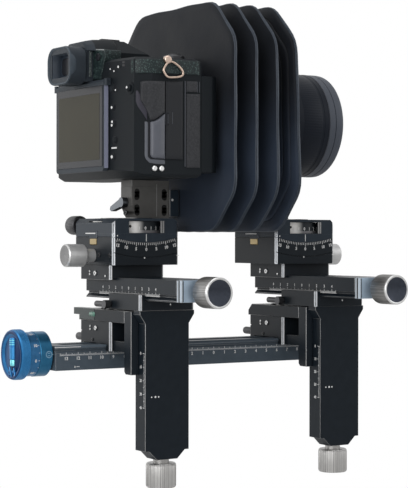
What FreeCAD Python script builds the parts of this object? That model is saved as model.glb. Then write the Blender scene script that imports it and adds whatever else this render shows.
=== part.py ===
import FreeCAD, Part
import math
import os

V = FreeCAD.Vector

# Monorail view camera adapter. Two alike standards ride on one rail. Each has a focus carriage,
# a lift column, a shift bar, a tilt cradle and a swing turntable. The rear one carries a digital
# camera body in a clamp, the front one a lens on a board, and pleated bellows join the two.
# Frame: X to the photographer's right, Y along the lens, Z up, origin at the tripod socket's mouth
# under the middle of the rail. All sizes in mm.

# Clearances
GAP = 0.3
RUN = 0.05
EDGE = 0.4
CORNER = 1.8
END_WALL = 1.2
BORE_TIP = 6.0

# Rail
RAIL_LENGTH = 280.0
RAIL_WIDTH = 36.0
RAIL_HEIGHT = 18.4
RAIL_EDGE = 1.6
RAIL_LIP = 2.0
RAIL_GROOVE_HEIGHT = 3.4
RAIL_GROOVE_DEPTH = 1.6
RAIL_FLOOR = 6.0
RAIL_END_WALL = 12.0
RAIL_CHANNEL_WIDTH = 13.0
TRIPOD_SOCKET_RADIUS = 4.0
SMALL_SOCKET_RADIUS = 2.6
SMALL_SOCKET_SPACING = 60.0

# Focus drive at the rail's rear end
FOCUS_SCREW_RADIUS = 4.0
FOCUS_SCREW_HEIGHT = 12.0
FOCUS_COLLAR_RADIUS = 16.9
FOCUS_COLLAR_LENGTH = 9.8
COLLAR_NECK_RADIUS = 13.0
COLLAR_NECK_LENGTH = 1.6
FOCUS_DIAL_RADIUS = 16.5
FOCUS_DIAL_LENGTH = 8.2
FOCUS_KNOB_RADIUS = 18.7
FOCUS_KNOB_LENGTH = 8.3
FOCUS_KNOB_ROUNDING = 1.6
FOCUS_KNOB_DISH_DEPTH = 2.4
FOCUS_KNOB_RIM = 1.6
FOCUS_KNOB_SLOPE = 3.0
CRANK_GRIP_RADIUS = 2.7
CRANK_GRIP_LENGTH = 17.4
CRANK_ARM = 8.6
CRANK_PIN_DEPTH = 3.0
CRANK_PIN_RADIUS = 1.2
CRANK_PIN_REACH = 2.2
CRANK_EAR_WALL = 1.3
CRANK_HUB_INSET = 0.8
CRANK_NECK_INSET = 0.6
CRANK_MARGIN = 1.2

# Standards: where they stand at rest
STANDARD_SPACING = 157.7
STANDARDS_MIDDLE = 4.85

# Focus carriage and the arm that carries the lift guide
BLOCK_WIDTH = 48.6
BLOCK_LENGTH = 47.4
CARRIAGE_CHEEK = 5.1
CARRIAGE_TOP = 35.6
NUT_WALL = 2.4
NUT_LENGTH = 16.0
CLAMP_SLIT_HEIGHT = 0.8
CLAMP_SLIT_DEPTH = 3.0
ARM_THICKNESS = 9.1
ARM_LENGTH = 49.0
ARM_CORNER = 5.0
WEB_HEIGHT = 8.1
WEB_INSET = 4.0
RIB_THICKNESS = 5.0
LOCK_STEM_RADIUS = 2.0
LOCK_HEAD_RADIUS = 2.9
LOCK_HEAD_LENGTH = 13.5
LOCK_HEAD_STANDOFF = 4.0
LOCK_REACH = 8.0
LOCK_SETBACK = 8.0
LOCK_RISE = 1.0

# Spirit level let into the rear arm, with the bar that holds it
LEVEL_LENGTH = 25.0
LEVEL_DEPTH = 9.0
LEVEL_RISE = 0.8
LEVEL_BAR_REACH = 10.5
LEVEL_BAR_HEIGHT = 5.2
LEVEL_BAR_INSET = 1.0

# Lift column and its guide
COLUMN_OUTER_FACE = 69.0
COLUMN_SHOULDER = 54.4
COLUMN_BACK = 51.2
COLUMN_WIDTH = 37.4
COLUMN_TONGUE_WIDTH = 31.6
COLUMN_BOTTOM = -57.8
COLUMN_FOOT_HEIGHT = 6.5
COLUMN_FOOT_INSET = 3.4
COLUMN_FLARE = 4.6
COLUMN_FLARE_HEIGHT = 6.8
COLUMN_FLARE_TOP = 2.8
GUIDE_WALL = 3.3
GUIDE_REACH = 3.6
GUIDE_BOTTOM = -2.1
GUIDE_LEAN = 1.1
GUIDE_FOOT_WIDTH = 3.0
GUIDE_FOOT_HEIGHT = 4.0
LIFT_TRAVEL = 40.0
LIFT_SCREW_X = 60.0
LIFT_SCREW_RADIUS = 3.0
LIFT_NUT_Z = 23.0
LIFT_NUT_HEIGHT = 14.0
LIFT_NECK_RADIUS = 5.9
LIFT_NECK_LENGTH = 3.0
SIDE_KNOB_RADIUS = 11.1
SIDE_KNOB_LENGTH = 18.0
SIDE_KNOB_DISH_RADIUS = 8.8
SIDE_KNOB_DISH_DEPTH = 2.4
SIDE_KNOB_SEAT = 6.0
SIDE_KNOB_EDGE = 0.7

# Column head, a clamp for the shift bar
HEAD_LENGTH = 48.4
HEAD_WIDTH = 47.0
HEAD_FLOOR = 7.3
HEAD_HEIGHT = 11.9
HEAD_LEVER_RADIUS = 2.3
HEAD_LEVER_LENGTH = 15.5
HEAD_LEVER_HUB = 3.2
HEAD_LEVER_SEAT = 3.3
HEAD_LEVER_INSET = 1.0
HEAD_CLEAR = 0.8

# Shift bar and block
BAR_LENGTH = 136.0
BAR_WIDTH = 37.4
BAR_HEIGHT = 15.8
BAR_BODY_HEIGHT = 10.9
BAR_FLANK = 2.3
BAR_FLANGE = 0.9
SHIFT_TRAVEL = 40.0
SHIFT_SCREW_RADIUS = 3.0
SHIFT_SCREW_ABOVE_FLANGE = 7.2
SHIFT_NUT_LENGTH = 14.0
SHIFT_NUT_WIDTH = 12.0
SHIFT_NUT_ROOF = 1.0
END_PLATE_CORNER = 1.44
END_PLATE_THICKNESS = 5.8
SHIFT_HUB_RADIUS = 5.0
SHIFT_HUB_LENGTH = 2.9
SHIFT_BLOCK_CHEEK = 1.8
SHIFT_BLOCK_WEB = 9.5

# Tilt cradle and rocker, both about the optical axis
STAGE_WIDTH = 61.6
STAGE_LENGTH = 57.5
STAGE_OFFSET = 5.0
STAGE_SETBACK = 1.0
TILT_RADIUS = 96.0
ROCKER_RISE = 6.5
RACK_WIDTH = 10.0
RACK_DEPTH_BELOW = 5.9
RACK_DEPTH_INSIDE = 2.0
RACK_HALF_ANGLE = 16.2
WORM_RISE = 7.1
WORM_CLEAR = 0.1
WORM_RADIUS = 4.0
WORM_LENGTH = 22.0
WORM_SHAFT_RADIUS = 2.5
TILT_COLLAR_RADIUS = 5.0
TILT_COLLAR_LENGTH = 8.6
TILT_SHAFT_WALL = 5.0
TILT_KNOB_RADIUS = 8.6
TILT_KNOB_LENGTH = 16.0
TILT_KNOB_EDGE = 0.9
PARTING_DROP = 11.0
PARTING_WIDTH = 0.6
PARTING_DEPTH = 1.0

# Swing housing and turntable
HOUSING_HEIGHT = 11.8
HOUSING_TOP_WALL = 2.0
HOUSING_BEVEL = 3.8
HOUSING_WALL = 1.0
WINDOW_WIDTH = 29.8
WINDOW_DEPTH = 8.0
WINDOW_SILL = 0.6
DIAL_RADIUS = 29.5
DIAL_WALL = 3.0
BOSS_RADIUS = 20.0
BOSS_RISE = 0.5
SWING_GEAR_RADIUS = 19.0
SWING_WORM_RADIUS = 3.0
SWING_WORM_LENGTH = 14.0
SWING_WORM_DROP = 5.1
SWING_HUB_WALL = 1.2
NOTCH_MARGIN = 15.0
SWING_SHAFT_RADIUS = 1.6
SWING_KNOB_RADIUS = 7.3
SWING_KNOB_LENGTH = 13.6
SWING_KNOB_STANDOFF = 2.6
SWING_TRAVEL = 15.0

# Rear clamp that carries the camera body
RISER_WIDTH = 17.5
RISER_LENGTH = 33.4
RISER_SETBACK = 0.2
RISER_SLOT_WIDTH = 4.0
RISER_SLOT_HEIGHT = 8.0
RISER_SLOT_MARGIN = 2.6
RISER_TAPER_HEIGHT = 12.0
RISER_TAPER_DEPTH = 5.0
JAW_LENGTH = 8.9
JAW_HEIGHT = 21.0
JAW_RISE = 1.2
DRAW_ROD_RADIUS = 2.5
DRAW_ROD_START = 2.0
LEVER_LENGTH = 17.0
LEVER_THICKNESS = 4.6
LEVER_HUB_RADIUS = 3.8
LEVER_DROP_ANGLE = 17.0
LEVER_TIP = 1.4
CAMERA_PLATE_THICKNESS = 5.0

# Camera body
CAMERA_LEFT = -66.0
CAMERA_RIGHT = 75.5
CAMERA_AXIS_HEIGHT = 47.9
CAMERA_HEIGHT = 87.4
CAMERA_BACK = 37.3
CAMERA_FRONT = 21.0
CAMERA_RIM = 2.0
CAMERA_LEFT_SLOPE = 14.0
CAMERA_LEFT_END = 10.0
CAMERA_RIGHT_SLOPE = 27.0
CAMERA_RIGHT_END = 6.5
CAMERA_SIDE_STEP = 16.3
CAMERA_CORNER_STEP = 7.0
CAMERA_MOUNT_RADIUS = 36.0
CAMERA_MOUNT_LENGTH = 5.7
MOUNT_RING_WIDTH = 5.0
MOUNT_WELL_DEPTH = 18.0
GRIP_REACH = 17.0
GRIP_FOOT = 4.0
GRIP_HEAD = 12.0
GRIP_ROUNDING = 3.5
GRIP_WIDTH = 27.0
FINDER_WIDTH = 46.0
FINDER_RISE = 17.5
FINDER_OVERHANG = 8.0
FINDER_FLAT = 27.0
FINDER_SKIRT = 14.0
FINDER_BEVEL = 3.0
FINDER_NOSE = 1.0
NECK_INSET = 2.0
EYECUP_DROP = 2.4
HEEL_DEPTH = 18.0
HEEL_RISE = 6.0
EYECUP_WIDTH = 37.0
EYECUP_HEIGHT = 28.0
EYECUP_LENGTH = 12.4
EYECUP_LIP = 5.0
EYECUP_DEPTH = 8.0
SCREEN_WIDTH = 77.0
SCREEN_HEIGHT = 68.0
SCREEN_THICKNESS = 4.3
SCREEN_ABOVE_BASE = 4.9
SCREEN_CORNER = 3.0
SCREEN_OFFSET = 1.6
SCREEN_PIN_RADIUS = 1.0
SCREEN_EAR_WIDTH = 3.6
SCREEN_EAR_HALF = 2.6
SCREEN_EAR_GAP = 0.4

# Bellows
BELLOWS_RIDGE = 86.0
BELLOWS_VALLEY = 60.0
BELLOWS_MOUTH = 46.0
BELLOWS_RIDGE_CORNER = 30.0
BELLOWS_VALLEY_CORNER = 16.0
BELLOWS_MOUTH_CORNER = 8.0
BELLOWS_RISE = 1.3
BELLOWS_SAG = 5.2
BELLOWS_SKIN = 1.0
BELLOWS_FOLD = 2.2
BELLOWS_RIM = 3.0
BELLOWS_PLEATS = 4
BELLOWS_LEAN = 3.0
REAR_FRAME_LENGTH = 16.2
REAR_PANEL_LENGTH = 1.8
FRONT_PANEL_LENGTH = 14.8

# Lens on its board
BOARD_HALF = 52.0
BOARD_THICKNESS = 4.0
BOARD_SETBACK = 31.2
BOARD_CORNER = 8.0
BRACKET_WIDTH = 24.0
BRACKET_THICKNESS = 6.0
BRACKET_FOOT_SETBACK = 3.5
BRACKET_LENS_GAP = 1.5
LENS_RADIUS = 42.0
LENS_LENGTH = 50.0
LENS_BORE_RADIUS = 35.0
LENS_MOUNT_RADIUS = 33.0
LENS_MOUNT_LENGTH = 7.0
LENS_MOUNT_WALL = 4.0
LENS_SHOULDER = 1.5
LENS_STEP = 6.0
LENS_GROOVE = 0.7
LENS_GROOVE_SETBACK = 10.5
LENS_RIM = 0.8
LENS_THREAD_RADIUS = 38.5
LENS_THREAD_LENGTH = 6.0
GLASS_THICKNESS = 7.0
GLASS_RISE = 3.2

# Worked out from the sizes above
RAIL_END = RAIL_LENGTH / 2
GROOVE_Z = RAIL_HEIGHT - RAIL_LIP - RAIL_GROOVE_HEIGHT / 2
ARM_TOP = CARRIAGE_TOP + ARM_THICKNESS
HEAD_BOTTOM = ARM_TOP + HEAD_CLEAR
HEAD_TOP = HEAD_BOTTOM + HEAD_HEIGHT
HEAD_CENTRE_X = COLUMN_OUTER_FACE - HEAD_LENGTH / 2
BAR_BOTTOM = HEAD_BOTTOM + HEAD_FLOOR + GAP
BAR_TOP = BAR_BOTTOM + BAR_HEIGHT
SHIFT_SCREW_Z = BAR_BOTTOM + SHIFT_SCREW_ABOVE_FLANGE
BAR_START = HEAD_CENTRE_X - BAR_LENGTH / 2
BAR_END = HEAD_CENTRE_X + BAR_LENGTH / 2
STAGE_BOTTOM = BAR_TOP + SHIFT_BLOCK_WEB
WORM_Z = STAGE_BOTTOM + WORM_RISE
ROCKER_BOTTOM = WORM_Z + WORM_RADIUS + WORM_CLEAR + RACK_DEPTH_BELOW
OPTICAL_AXIS_Z = ROCKER_BOTTOM + TILT_RADIUS
ROCKER_TOP = ROCKER_BOTTOM + ROCKER_RISE
RACK_OUTER_RADIUS = TILT_RADIUS + RACK_DEPTH_BELOW
RACK_INNER_RADIUS = TILT_RADIUS - RACK_DEPTH_INSIDE
PARTING_RADIUS = TILT_RADIUS + PARTING_DROP
HOUSING_TOP = ROCKER_TOP + HOUSING_HEIGHT
SWING_SHAFT_Z = HOUSING_TOP - SWING_WORM_DROP
BOSS_TOP = HOUSING_TOP + BOSS_RISE
DIAL_TOP = HOUSING_TOP - HOUSING_TOP_WALL - GAP
GUIDE_BACK = COLUMN_BACK - GAP - GUIDE_WALL
GUIDE_HALF = ARM_LENGTH / 2
GUIDE_SLOT_HALF = COLUMN_WIDTH / 2 + GAP
SWING_WORM_Y = SWING_GEAR_RADIUS + SWING_WORM_RADIUS + GAP
CAMERA_BASE = OPTICAL_AXIS_Z - CAMERA_AXIS_HEIGHT
RISER_HEIGHT = CAMERA_BASE - CAMERA_PLATE_THICKNESS - BOSS_TOP


def box(x0, x1, y0, y1, z0, z1):
    return Part.makeBox(x1 - x0, y1 - y0, z1 - z0, V(x0, y0, z0))


def rod(radius, start, end):
    axis = V(*end) - V(*start)
    return Part.makeCylinder(radius, axis.Length, V(*start), axis)


def prism(points, axis, start, end):
    """Solid with a polygon section across one axis: pairs are the two other axes in X, Y, Z order."""
    place = {
        "x": lambda a, b: V(start, a, b), "y": lambda a, b: V(a, start, b), "z": lambda a, b: V(a, b, start),
    }
    way = {"x": V(end - start, 0, 0), "y": V(0, end - start, 0), "z": V(0, 0, end - start)}
    corners = [place[axis](a, b) for a, b in points]
    return Part.Face(Part.makePolygon(corners + corners[:1])).extrude(way[axis])


def mirrored(points):
    """A right-hand outline and its mirror image about the second coordinate's axis."""
    return points + [(-a, b) for a, b in reversed(points)]


def chamfered_block(x0, x1, y0, y1, z0, z1, corner):
    """Block with its four upright corners cut off."""
    outline = [
        (x0 + corner, y0), (x1 - corner, y0), (x1, y0 + corner), (x1, y1 - corner),
        (x1 - corner, y1), (x0 + corner, y1), (x0, y1 - corner), (x0, y0 + corner),
    ]
    return prism(outline, "z", z0, z1)


def long_edges(shape, axis, least):
    """Straight edges that run along one axis and are at least so long."""
    found = []
    for edge in shape.Edges:
        if len(edge.Vertexes) == 2 and edge.Length >= least:
            way = edge.Vertexes[1].Point - edge.Vertexes[0].Point
            if abs(abs(way.dot(axis)) - edge.Length) < 1e-6:
                found.append(edge)
    return found


def turned(profile, centre, direction):
    """Solid turned about an axis from (radius, distance along the axis) pairs."""
    wire = [V(r, 0, d) for r, d in profile]
    face = Part.Face(Part.makePolygon(wire + wire[:1]))
    solid = face.revolve(V(0, 0, 0), V(0, 0, 1), 360)
    solid.Placement = FreeCAD.Placement(V(*centre), FreeCAD.Rotation(V(0, 0, 1), V(*direction)))
    return solid


def moved(shape, y):
    copy = shape.copy()
    copy.translate(V(0, y, 0))
    return copy


def one_solid(shape):
    """The solid of a finished boolean, with split faces joined again."""
    return shape.removeSplitter()


def write(name, shape):
    solids = shape.Solids
    result = solids[0] if len(solids) == 1 else Part.makeCompound(solids)
    if not result.isValid() or not solids:
        print("CHECK", name, "valid", result.isValid(), "solids", len(solids))
    result.exportStep("parts/" + name + ".step")
    print(name, len(solids), round(result.Volume, 1))


# Rail and focus drive

def rail_beam():
    half = RAIL_WIDTH / 2
    side = [
        (half, 0), (half, GROOVE_Z - RAIL_GROOVE_HEIGHT / 2), (half - RAIL_GROOVE_DEPTH, GROOVE_Z),
        (half, GROOVE_Z + RAIL_GROOVE_HEIGHT / 2), (half, RAIL_HEIGHT),
    ]
    beam = prism(mirrored(side), "y", -RAIL_END, RAIL_END)
    tops = [e for e in long_edges(beam, V(0, 1, 0), RAIL_LENGTH - 1) if e.CenterOfMass.z > RAIL_HEIGHT - 0.01]
    beam = beam.makeFillet(RAIL_EDGE, tops)
    channel = RAIL_CHANNEL_WIDTH / 2
    inner = RAIL_END - RAIL_END_WALL
    beam = beam.cut(box(-channel, channel, -inner, inner, RAIL_FLOOR, RAIL_HEIGHT + 1))
    bore = FOCUS_SCREW_RADIUS + RUN
    beam = beam.cut(rod(bore, (0, -RAIL_END - 1, FOCUS_SCREW_HEIGHT), (0, RAIL_END + 1, FOCUS_SCREW_HEIGHT)))
    beam = beam.cut(rod(TRIPOD_SOCKET_RADIUS, (0, 0, -1), (0, 0, RAIL_FLOOR + 1)))
    for side_y in (-1, 1):
        y = side_y * SMALL_SOCKET_SPACING / 2
        beam = beam.cut(rod(SMALL_SOCKET_RADIUS, (0, y, -1), (0, y, RAIL_FLOOR + 1)))
    return beam


def collar_end():
    """Y of the fixed collar's outer face."""
    return -RAIL_END - COLLAR_NECK_LENGTH - FOCUS_COLLAR_LENGTH


def focus_collar():
    neck_end = (0, -RAIL_END - COLLAR_NECK_LENGTH, FOCUS_SCREW_HEIGHT)
    collar = rod(FOCUS_COLLAR_RADIUS, neck_end, (0, collar_end(), FOCUS_SCREW_HEIGHT))
    rims = [e for e in collar.Edges if e.Curve.TypeId == "Part::GeomCircle"]
    collar = collar.makeChamfer(EDGE, rims)
    collar = collar.fuse(rod(COLLAR_NECK_RADIUS, (0, -RAIL_END, FOCUS_SCREW_HEIGHT), neck_end))
    bore = rod(FOCUS_SCREW_RADIUS + RUN, (0, -RAIL_END + 1, FOCUS_SCREW_HEIGHT),
               (0, collar_end() - 1, FOCUS_SCREW_HEIGHT))
    return one_solid(collar.cut(bore))


def focus_dial():
    start = collar_end() - GAP
    end = start - FOCUS_DIAL_LENGTH
    dial = rod(FOCUS_DIAL_RADIUS, (0, start, FOCUS_SCREW_HEIGHT), (0, end, FOCUS_SCREW_HEIGHT))
    bore = rod(FOCUS_SCREW_RADIUS, (0, start + 1, FOCUS_SCREW_HEIGHT), (0, end - 1, FOCUS_SCREW_HEIGHT))
    return dial.cut(bore)


def focus_knob_face():
    """Y of the knob's outer face."""
    return collar_end() - GAP - FOCUS_DIAL_LENGTH - FOCUS_KNOB_LENGTH


def crank_pivot():
    """Y and Z of the crank's hinge pin, low in the knob's face."""
    y = focus_knob_face() + CRANK_PIN_DEPTH
    z = FOCUS_SCREW_HEIGHT - (FOCUS_KNOB_RADIUS - FOCUS_KNOB_ROUNDING - CRANK_GRIP_RADIUS - CRANK_MARGIN)
    return y, z


def crank_well_depth():
    """Depth of the slot that the crank lies in, from the knob's face."""
    return CRANK_PIN_DEPTH + CRANK_GRIP_RADIUS + GAP


def focus_screw():
    start = focus_knob_face() + crank_well_depth() + EDGE
    return rod(FOCUS_SCREW_RADIUS, (0, start, FOCUS_SCREW_HEIGHT),
               (0, RAIL_END - RAIL_END_WALL / 2, FOCUS_SCREW_HEIGHT))


def focus_knob():
    r, long, edge = FOCUS_KNOB_RADIUS, FOCUS_KNOB_LENGTH, FOCUS_KNOB_ROUNDING
    dish = r - edge - FOCUS_KNOB_RIM
    profile = [
        (0, FOCUS_KNOB_DISH_DEPTH), (dish - FOCUS_KNOB_SLOPE, FOCUS_KNOB_DISH_DEPTH),
        (dish, EDGE), (r - edge, 0),
        (r - edge * 0.3, edge * 0.3), (r, edge), (r, long - EDGE), (r - EDGE, long), (0, long),
    ]
    face = focus_knob_face()
    knob = turned(profile, (0, face, FOCUS_SCREW_HEIGHT), (0, 1, 0))
    pivot_y, pivot_z = crank_pivot()
    half = CRANK_GRIP_RADIUS + GAP
    top = pivot_z + CRANK_ARM + CRANK_GRIP_LENGTH + 2 * GAP
    well = box(-half, half, face - 1, face + crank_well_depth(), pivot_z - half, top)
    ear = CRANK_PIN_RADIUS + CRANK_EAR_WALL
    foot = face + FOCUS_KNOB_DISH_DEPTH + 1
    lugs = []
    for end in (-1, 1):
        near, far = sorted((end * half, end * (half + CRANK_PIN_REACH + 2 * RUN)))
        lug = rod(ear, (near, pivot_y, pivot_z), (far, pivot_y, pivot_z))
        lugs.append(lug.fuse(box(near, far, pivot_y, foot, pivot_z - ear, pivot_z + ear)))
    knob = knob.fuse(lugs).cut(well)
    reach = half + CRANK_PIN_REACH + 1
    knob = knob.cut(rod(CRANK_PIN_RADIUS + RUN, (-reach, pivot_y, pivot_z), (reach, pivot_y, pivot_z)))
    seat = rod(FOCUS_SCREW_RADIUS, (0, face + crank_well_depth() + EDGE, FOCUS_SCREW_HEIGHT),
               (0, face + long + 1, FOCUS_SCREW_HEIGHT))
    return one_solid(knob.cut(seat))


def focus_crank():
    y, z = crank_pivot()
    half = CRANK_GRIP_RADIUS + GAP
    ear = CRANK_GRIP_RADIUS - CRANK_HUB_INSET
    hub = rod(ear, (-ear, y, z), (ear, y, z))
    neck = ear - CRANK_NECK_INSET
    stem = box(-neck, neck, y - neck, y + neck, z, z + CRANK_ARM + 1)
    grip = rod(CRANK_GRIP_RADIUS, (0, y, z + CRANK_ARM), (0, y, z + CRANK_ARM + CRANK_GRIP_LENGTH))
    ends = [e for e in grip.Edges if e.Curve.TypeId == "Part::GeomCircle"]
    grip = grip.makeChamfer(EDGE, ends)
    pin = rod(CRANK_PIN_RADIUS, (-half - CRANK_PIN_REACH, y, z), (half + CRANK_PIN_REACH, y, z))
    return one_solid(hub.fuse([stem, grip, pin]))


# One standard. Y is measured from the middle of the standard.

def carriage(driven):
    half, cheek = BLOCK_WIDTH / 2, RAIL_WIDTH / 2 + GAP
    bottom = RAIL_HEIGHT - CARRIAGE_CHEEK
    nose = cheek - RAIL_GROOVE_DEPTH + GAP / 2
    reach = BLOCK_LENGTH / 2
    block = chamfered_block(-half, half, -reach, reach, bottom, CARRIAGE_TOP, CORNER)
    tunnel = [
        (cheek, bottom - 1), (cheek, GROOVE_Z - RAIL_GROOVE_HEIGHT / 2 + GAP), (nose, GROOVE_Z),
        (cheek, GROOVE_Z + RAIL_GROOVE_HEIGHT / 2 - GAP), (cheek, RAIL_HEIGHT + GAP),
    ]
    block = block.cut(prism(mirrored(tunnel), "y", -reach - 1, reach + 1))
    slit_z = (RAIL_HEIGHT + CARRIAGE_TOP) / 2
    slit = box(-half - 1, -half + CLAMP_SLIT_DEPTH, -reach - 1, reach + 1, slit_z, slit_z + CLAMP_SLIT_HEIGHT)
    block = block.cut(slit)
    y, z = carriage_lock_place()
    block = block.cut(rod(LOCK_STEM_RADIUS + RUN, (-half - 1, y, z), (-half + LOCK_REACH + GAP, y, z)))
    if driven:
        wide = FOCUS_SCREW_RADIUS + NUT_WALL - GAP
        low = FOCUS_SCREW_HEIGHT - FOCUS_SCREW_RADIUS - END_WALL
        nut = box(-wide, wide, -NUT_LENGTH / 2, NUT_LENGTH / 2, low, RAIL_HEIGHT + GAP + 1)
        block = block.fuse(nut)
        axis = FOCUS_SCREW_HEIGHT
        block = block.cut(rod(FOCUS_SCREW_RADIUS + RUN, (0, -NUT_LENGTH, axis), (0, NUT_LENGTH, axis)))
    return one_solid(block)


def carriage_lock_place():
    """Y and Z of the lock screw in the carriage's left side."""
    return -BLOCK_LENGTH / 2 + LOCK_SETBACK, RAIL_HEIGHT + GAP + LOCK_STEM_RADIUS + LOCK_RISE


def carriage_lock():
    y, z = carriage_lock_place()
    side = -BLOCK_WIDTH / 2
    start = side - LOCK_HEAD_STANDOFF
    stem = rod(LOCK_STEM_RADIUS, (side + LOCK_REACH, y, z), (start, y, z))
    head = rod(LOCK_HEAD_RADIUS, (start, y, z), (start - LOCK_HEAD_LENGTH, y, z))
    outer = [e for e in head.Edges if e.Curve.TypeId == "Part::GeomCircle"]
    return one_solid(stem.fuse(head.makeChamfer(EDGE, outer)))


def arm(level):
    left, right = -BLOCK_WIDTH / 2, GUIDE_BACK
    half = ARM_LENGTH / 2
    section = [
        (left, CARRIAGE_TOP), (right, CARRIAGE_TOP), (right, ARM_TOP), (left + ARM_CORNER, ARM_TOP),
        (left, ARM_TOP - ARM_CORNER),
    ]
    plate = prism(section, "y", -half, half)
    low, inner = RAIL_HEIGHT - CARRIAGE_CHEEK, half - WEB_INSET
    web = box(BLOCK_WIDTH / 2, right, -inner, inner, low, low + WEB_HEIGHT)
    rib = box(right - RIB_THICKNESS, right, -inner, inner, low, CARRIAGE_TOP + 1)
    shape = plate.fuse([web, rib])
    if level:
        back = -half
        pocket = box(left - 1, left + LEVEL_LENGTH + GAP, back - 1, back + LEVEL_DEPTH + GAP,
                     CARRIAGE_TOP + LEVEL_RISE, ARM_TOP + 1)
        shape = shape.cut(pocket)
    return one_solid(shape)


def spirit_level():
    """Clear block with the vial, and the bar beside it that reaches out past the arm."""
    left, back = -BLOCK_WIDTH / 2, -ARM_LENGTH / 2
    front = back + LEVEL_DEPTH
    block = box(left, left + LEVEL_LENGTH, back, front, CARRIAGE_TOP + LEVEL_RISE, ARM_TOP)
    block = block.makeChamfer(EDGE, long_edges(block, V(0, 0, 1), 1))
    bar = box(left - LEVEL_BAR_REACH, left + 1, back + LEVEL_BAR_INSET, front - LEVEL_BAR_INSET,
              ARM_TOP - LEVEL_BAR_HEIGHT, ARM_TOP)
    return one_solid(block.fuse(bar))


def column_plan(clear):
    """Plan of the column with its dovetail tongue, grown by a clearance."""
    half, tongue = COLUMN_WIDTH / 2, COLUMN_TONGUE_WIDTH / 2
    depth = COLUMN_SHOULDER - COLUMN_BACK
    side = clear * (math.sqrt(2) - 1)
    shoulder = COLUMN_SHOULDER - clear
    near = [
        (COLUMN_OUTER_FACE + clear, half + clear), (shoulder, half + clear),
        (shoulder, tongue - depth + clear + side), (COLUMN_BACK - clear, tongue + side + clear),
    ]
    return near + [(x, -y) for x, y in reversed(near)]


def lift_guide():
    outer, inner = GUIDE_HALF, GUIDE_SLOT_HALF
    lip = COLUMN_SHOULDER + GUIDE_REACH
    outline = [
        (GUIDE_BACK, -outer), (lip, -outer), (lip + GUIDE_LEAN, -inner),
        (lip + GUIDE_LEAN, inner), (lip, outer), (GUIDE_BACK, outer),
    ]
    guide = prism(outline, "z", GUIDE_BOTTOM, ARM_TOP)
    guide = guide.cut(prism(column_plan(GAP), "z", GUIDE_BOTTOM - 1, ARM_TOP + 1))
    low, foot = GUIDE_BOTTOM - 1, GUIDE_BACK + GUIDE_FOOT_WIDTH
    corner = [(GUIDE_BACK - 1, low), (foot, low), (GUIDE_BACK - 1, low + GUIDE_FOOT_HEIGHT)]
    guide = guide.cut(prism(corner, "y", -outer - 1, outer + 1))
    low, high = LIFT_NUT_Z - LIFT_NUT_HEIGHT / 2, LIFT_NUT_Z + LIFT_NUT_HEIGHT / 2
    nut = box(COLUMN_BACK - GAP - 1, lift_nut_end(), -lift_nut_half(), lift_nut_half(), low, high)
    guide = guide.fuse(nut)
    bore = rod(LIFT_SCREW_RADIUS + RUN, (LIFT_SCREW_X, 0, low - 1), (LIFT_SCREW_X, 0, high + 1))
    return one_solid(guide.cut(bore))


def lift_nut_half():
    return LIFT_SCREW_RADIUS + NUT_WALL


def lift_nut_end():
    return LIFT_SCREW_X + LIFT_SCREW_RADIUS + END_WALL


def column():
    body = prism(column_plan(0), "z", COLUMN_BOTTOM, HEAD_BOTTOM)
    half = COLUMN_WIDTH / 2
    flare_top = HEAD_BOTTOM - COLUMN_FLARE_TOP
    wide = half + COLUMN_FLARE
    flare = [(half, flare_top - COLUMN_FLARE_HEIGHT), (wide, flare_top), (wide, HEAD_BOTTOM)]
    flare_start = COLUMN_SHOULDER + GUIDE_REACH + GUIDE_LEAN + GAP
    body = body.fuse(prism(mirrored(flare), "x", flare_start, COLUMN_OUTER_FACE))
    foot_half, foot_bottom = half - COLUMN_FOOT_INSET, COLUMN_BOTTOM - COLUMN_FOOT_HEIGHT
    foot = mirrored([(foot_half, COLUMN_BOTTOM), (foot_half - COLUMN_FOOT_HEIGHT, foot_bottom)])
    body = body.fuse(prism(foot, "x", COLUMN_SHOULDER, COLUMN_OUTER_FACE))
    slot_low = LIFT_NUT_Z - LIFT_NUT_HEIGHT / 2 - LIFT_TRAVEL - GAP
    slot_high = LIFT_NUT_Z + LIFT_NUT_HEIGHT / 2 + GAP
    side = lift_nut_half() + GAP
    body = body.cut(box(COLUMN_BACK - 1, lift_nut_end() + GAP, -side, side, slot_low, slot_high))
    bore_end = slot_high + BORE_TIP
    bore = rod(LIFT_SCREW_RADIUS + RUN, (LIFT_SCREW_X, 0, foot_bottom - 1), (LIFT_SCREW_X, 0, bore_end))
    return one_solid(body.cut(bore))


def lift_screw():
    top = LIFT_NUT_Z + LIFT_NUT_HEIGHT / 2 + GAP + BORE_TIP - 1.0
    seat = lift_knob_bottom() + SIDE_KNOB_LENGTH - SIDE_KNOB_SEAT
    return rod(LIFT_SCREW_RADIUS, (LIFT_SCREW_X, 0, seat), (LIFT_SCREW_X, 0, top))


def lift_knob_bottom():
    return COLUMN_BOTTOM - COLUMN_FOOT_HEIGHT - GAP - LIFT_NECK_LENGTH - SIDE_KNOB_LENGTH


def side_knob(hub_radius, hub_length, bore):
    """Silver knob: turned profile from the dished outer face, at 0, to the hub's seat."""
    r, long = SIDE_KNOB_RADIUS, SIDE_KNOB_LENGTH
    dish, deep = SIDE_KNOB_DISH_RADIUS, SIDE_KNOB_DISH_DEPTH
    seat, edge = long - SIDE_KNOB_SEAT, SIDE_KNOB_EDGE
    return [
        (0, deep), (dish, deep), (dish + edge, 0), (r - edge, 0), (r, edge), (r, long - edge),
        (r - edge, long), (hub_radius, long), (hub_radius, long + hub_length), (bore, long + hub_length),
        (bore, seat), (0, seat),
    ]


def lift_knob():
    profile = side_knob(LIFT_NECK_RADIUS, LIFT_NECK_LENGTH, LIFT_SCREW_RADIUS)
    return turned(profile, (LIFT_SCREW_X, 0, lift_knob_bottom()), (0, 0, 1))


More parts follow.
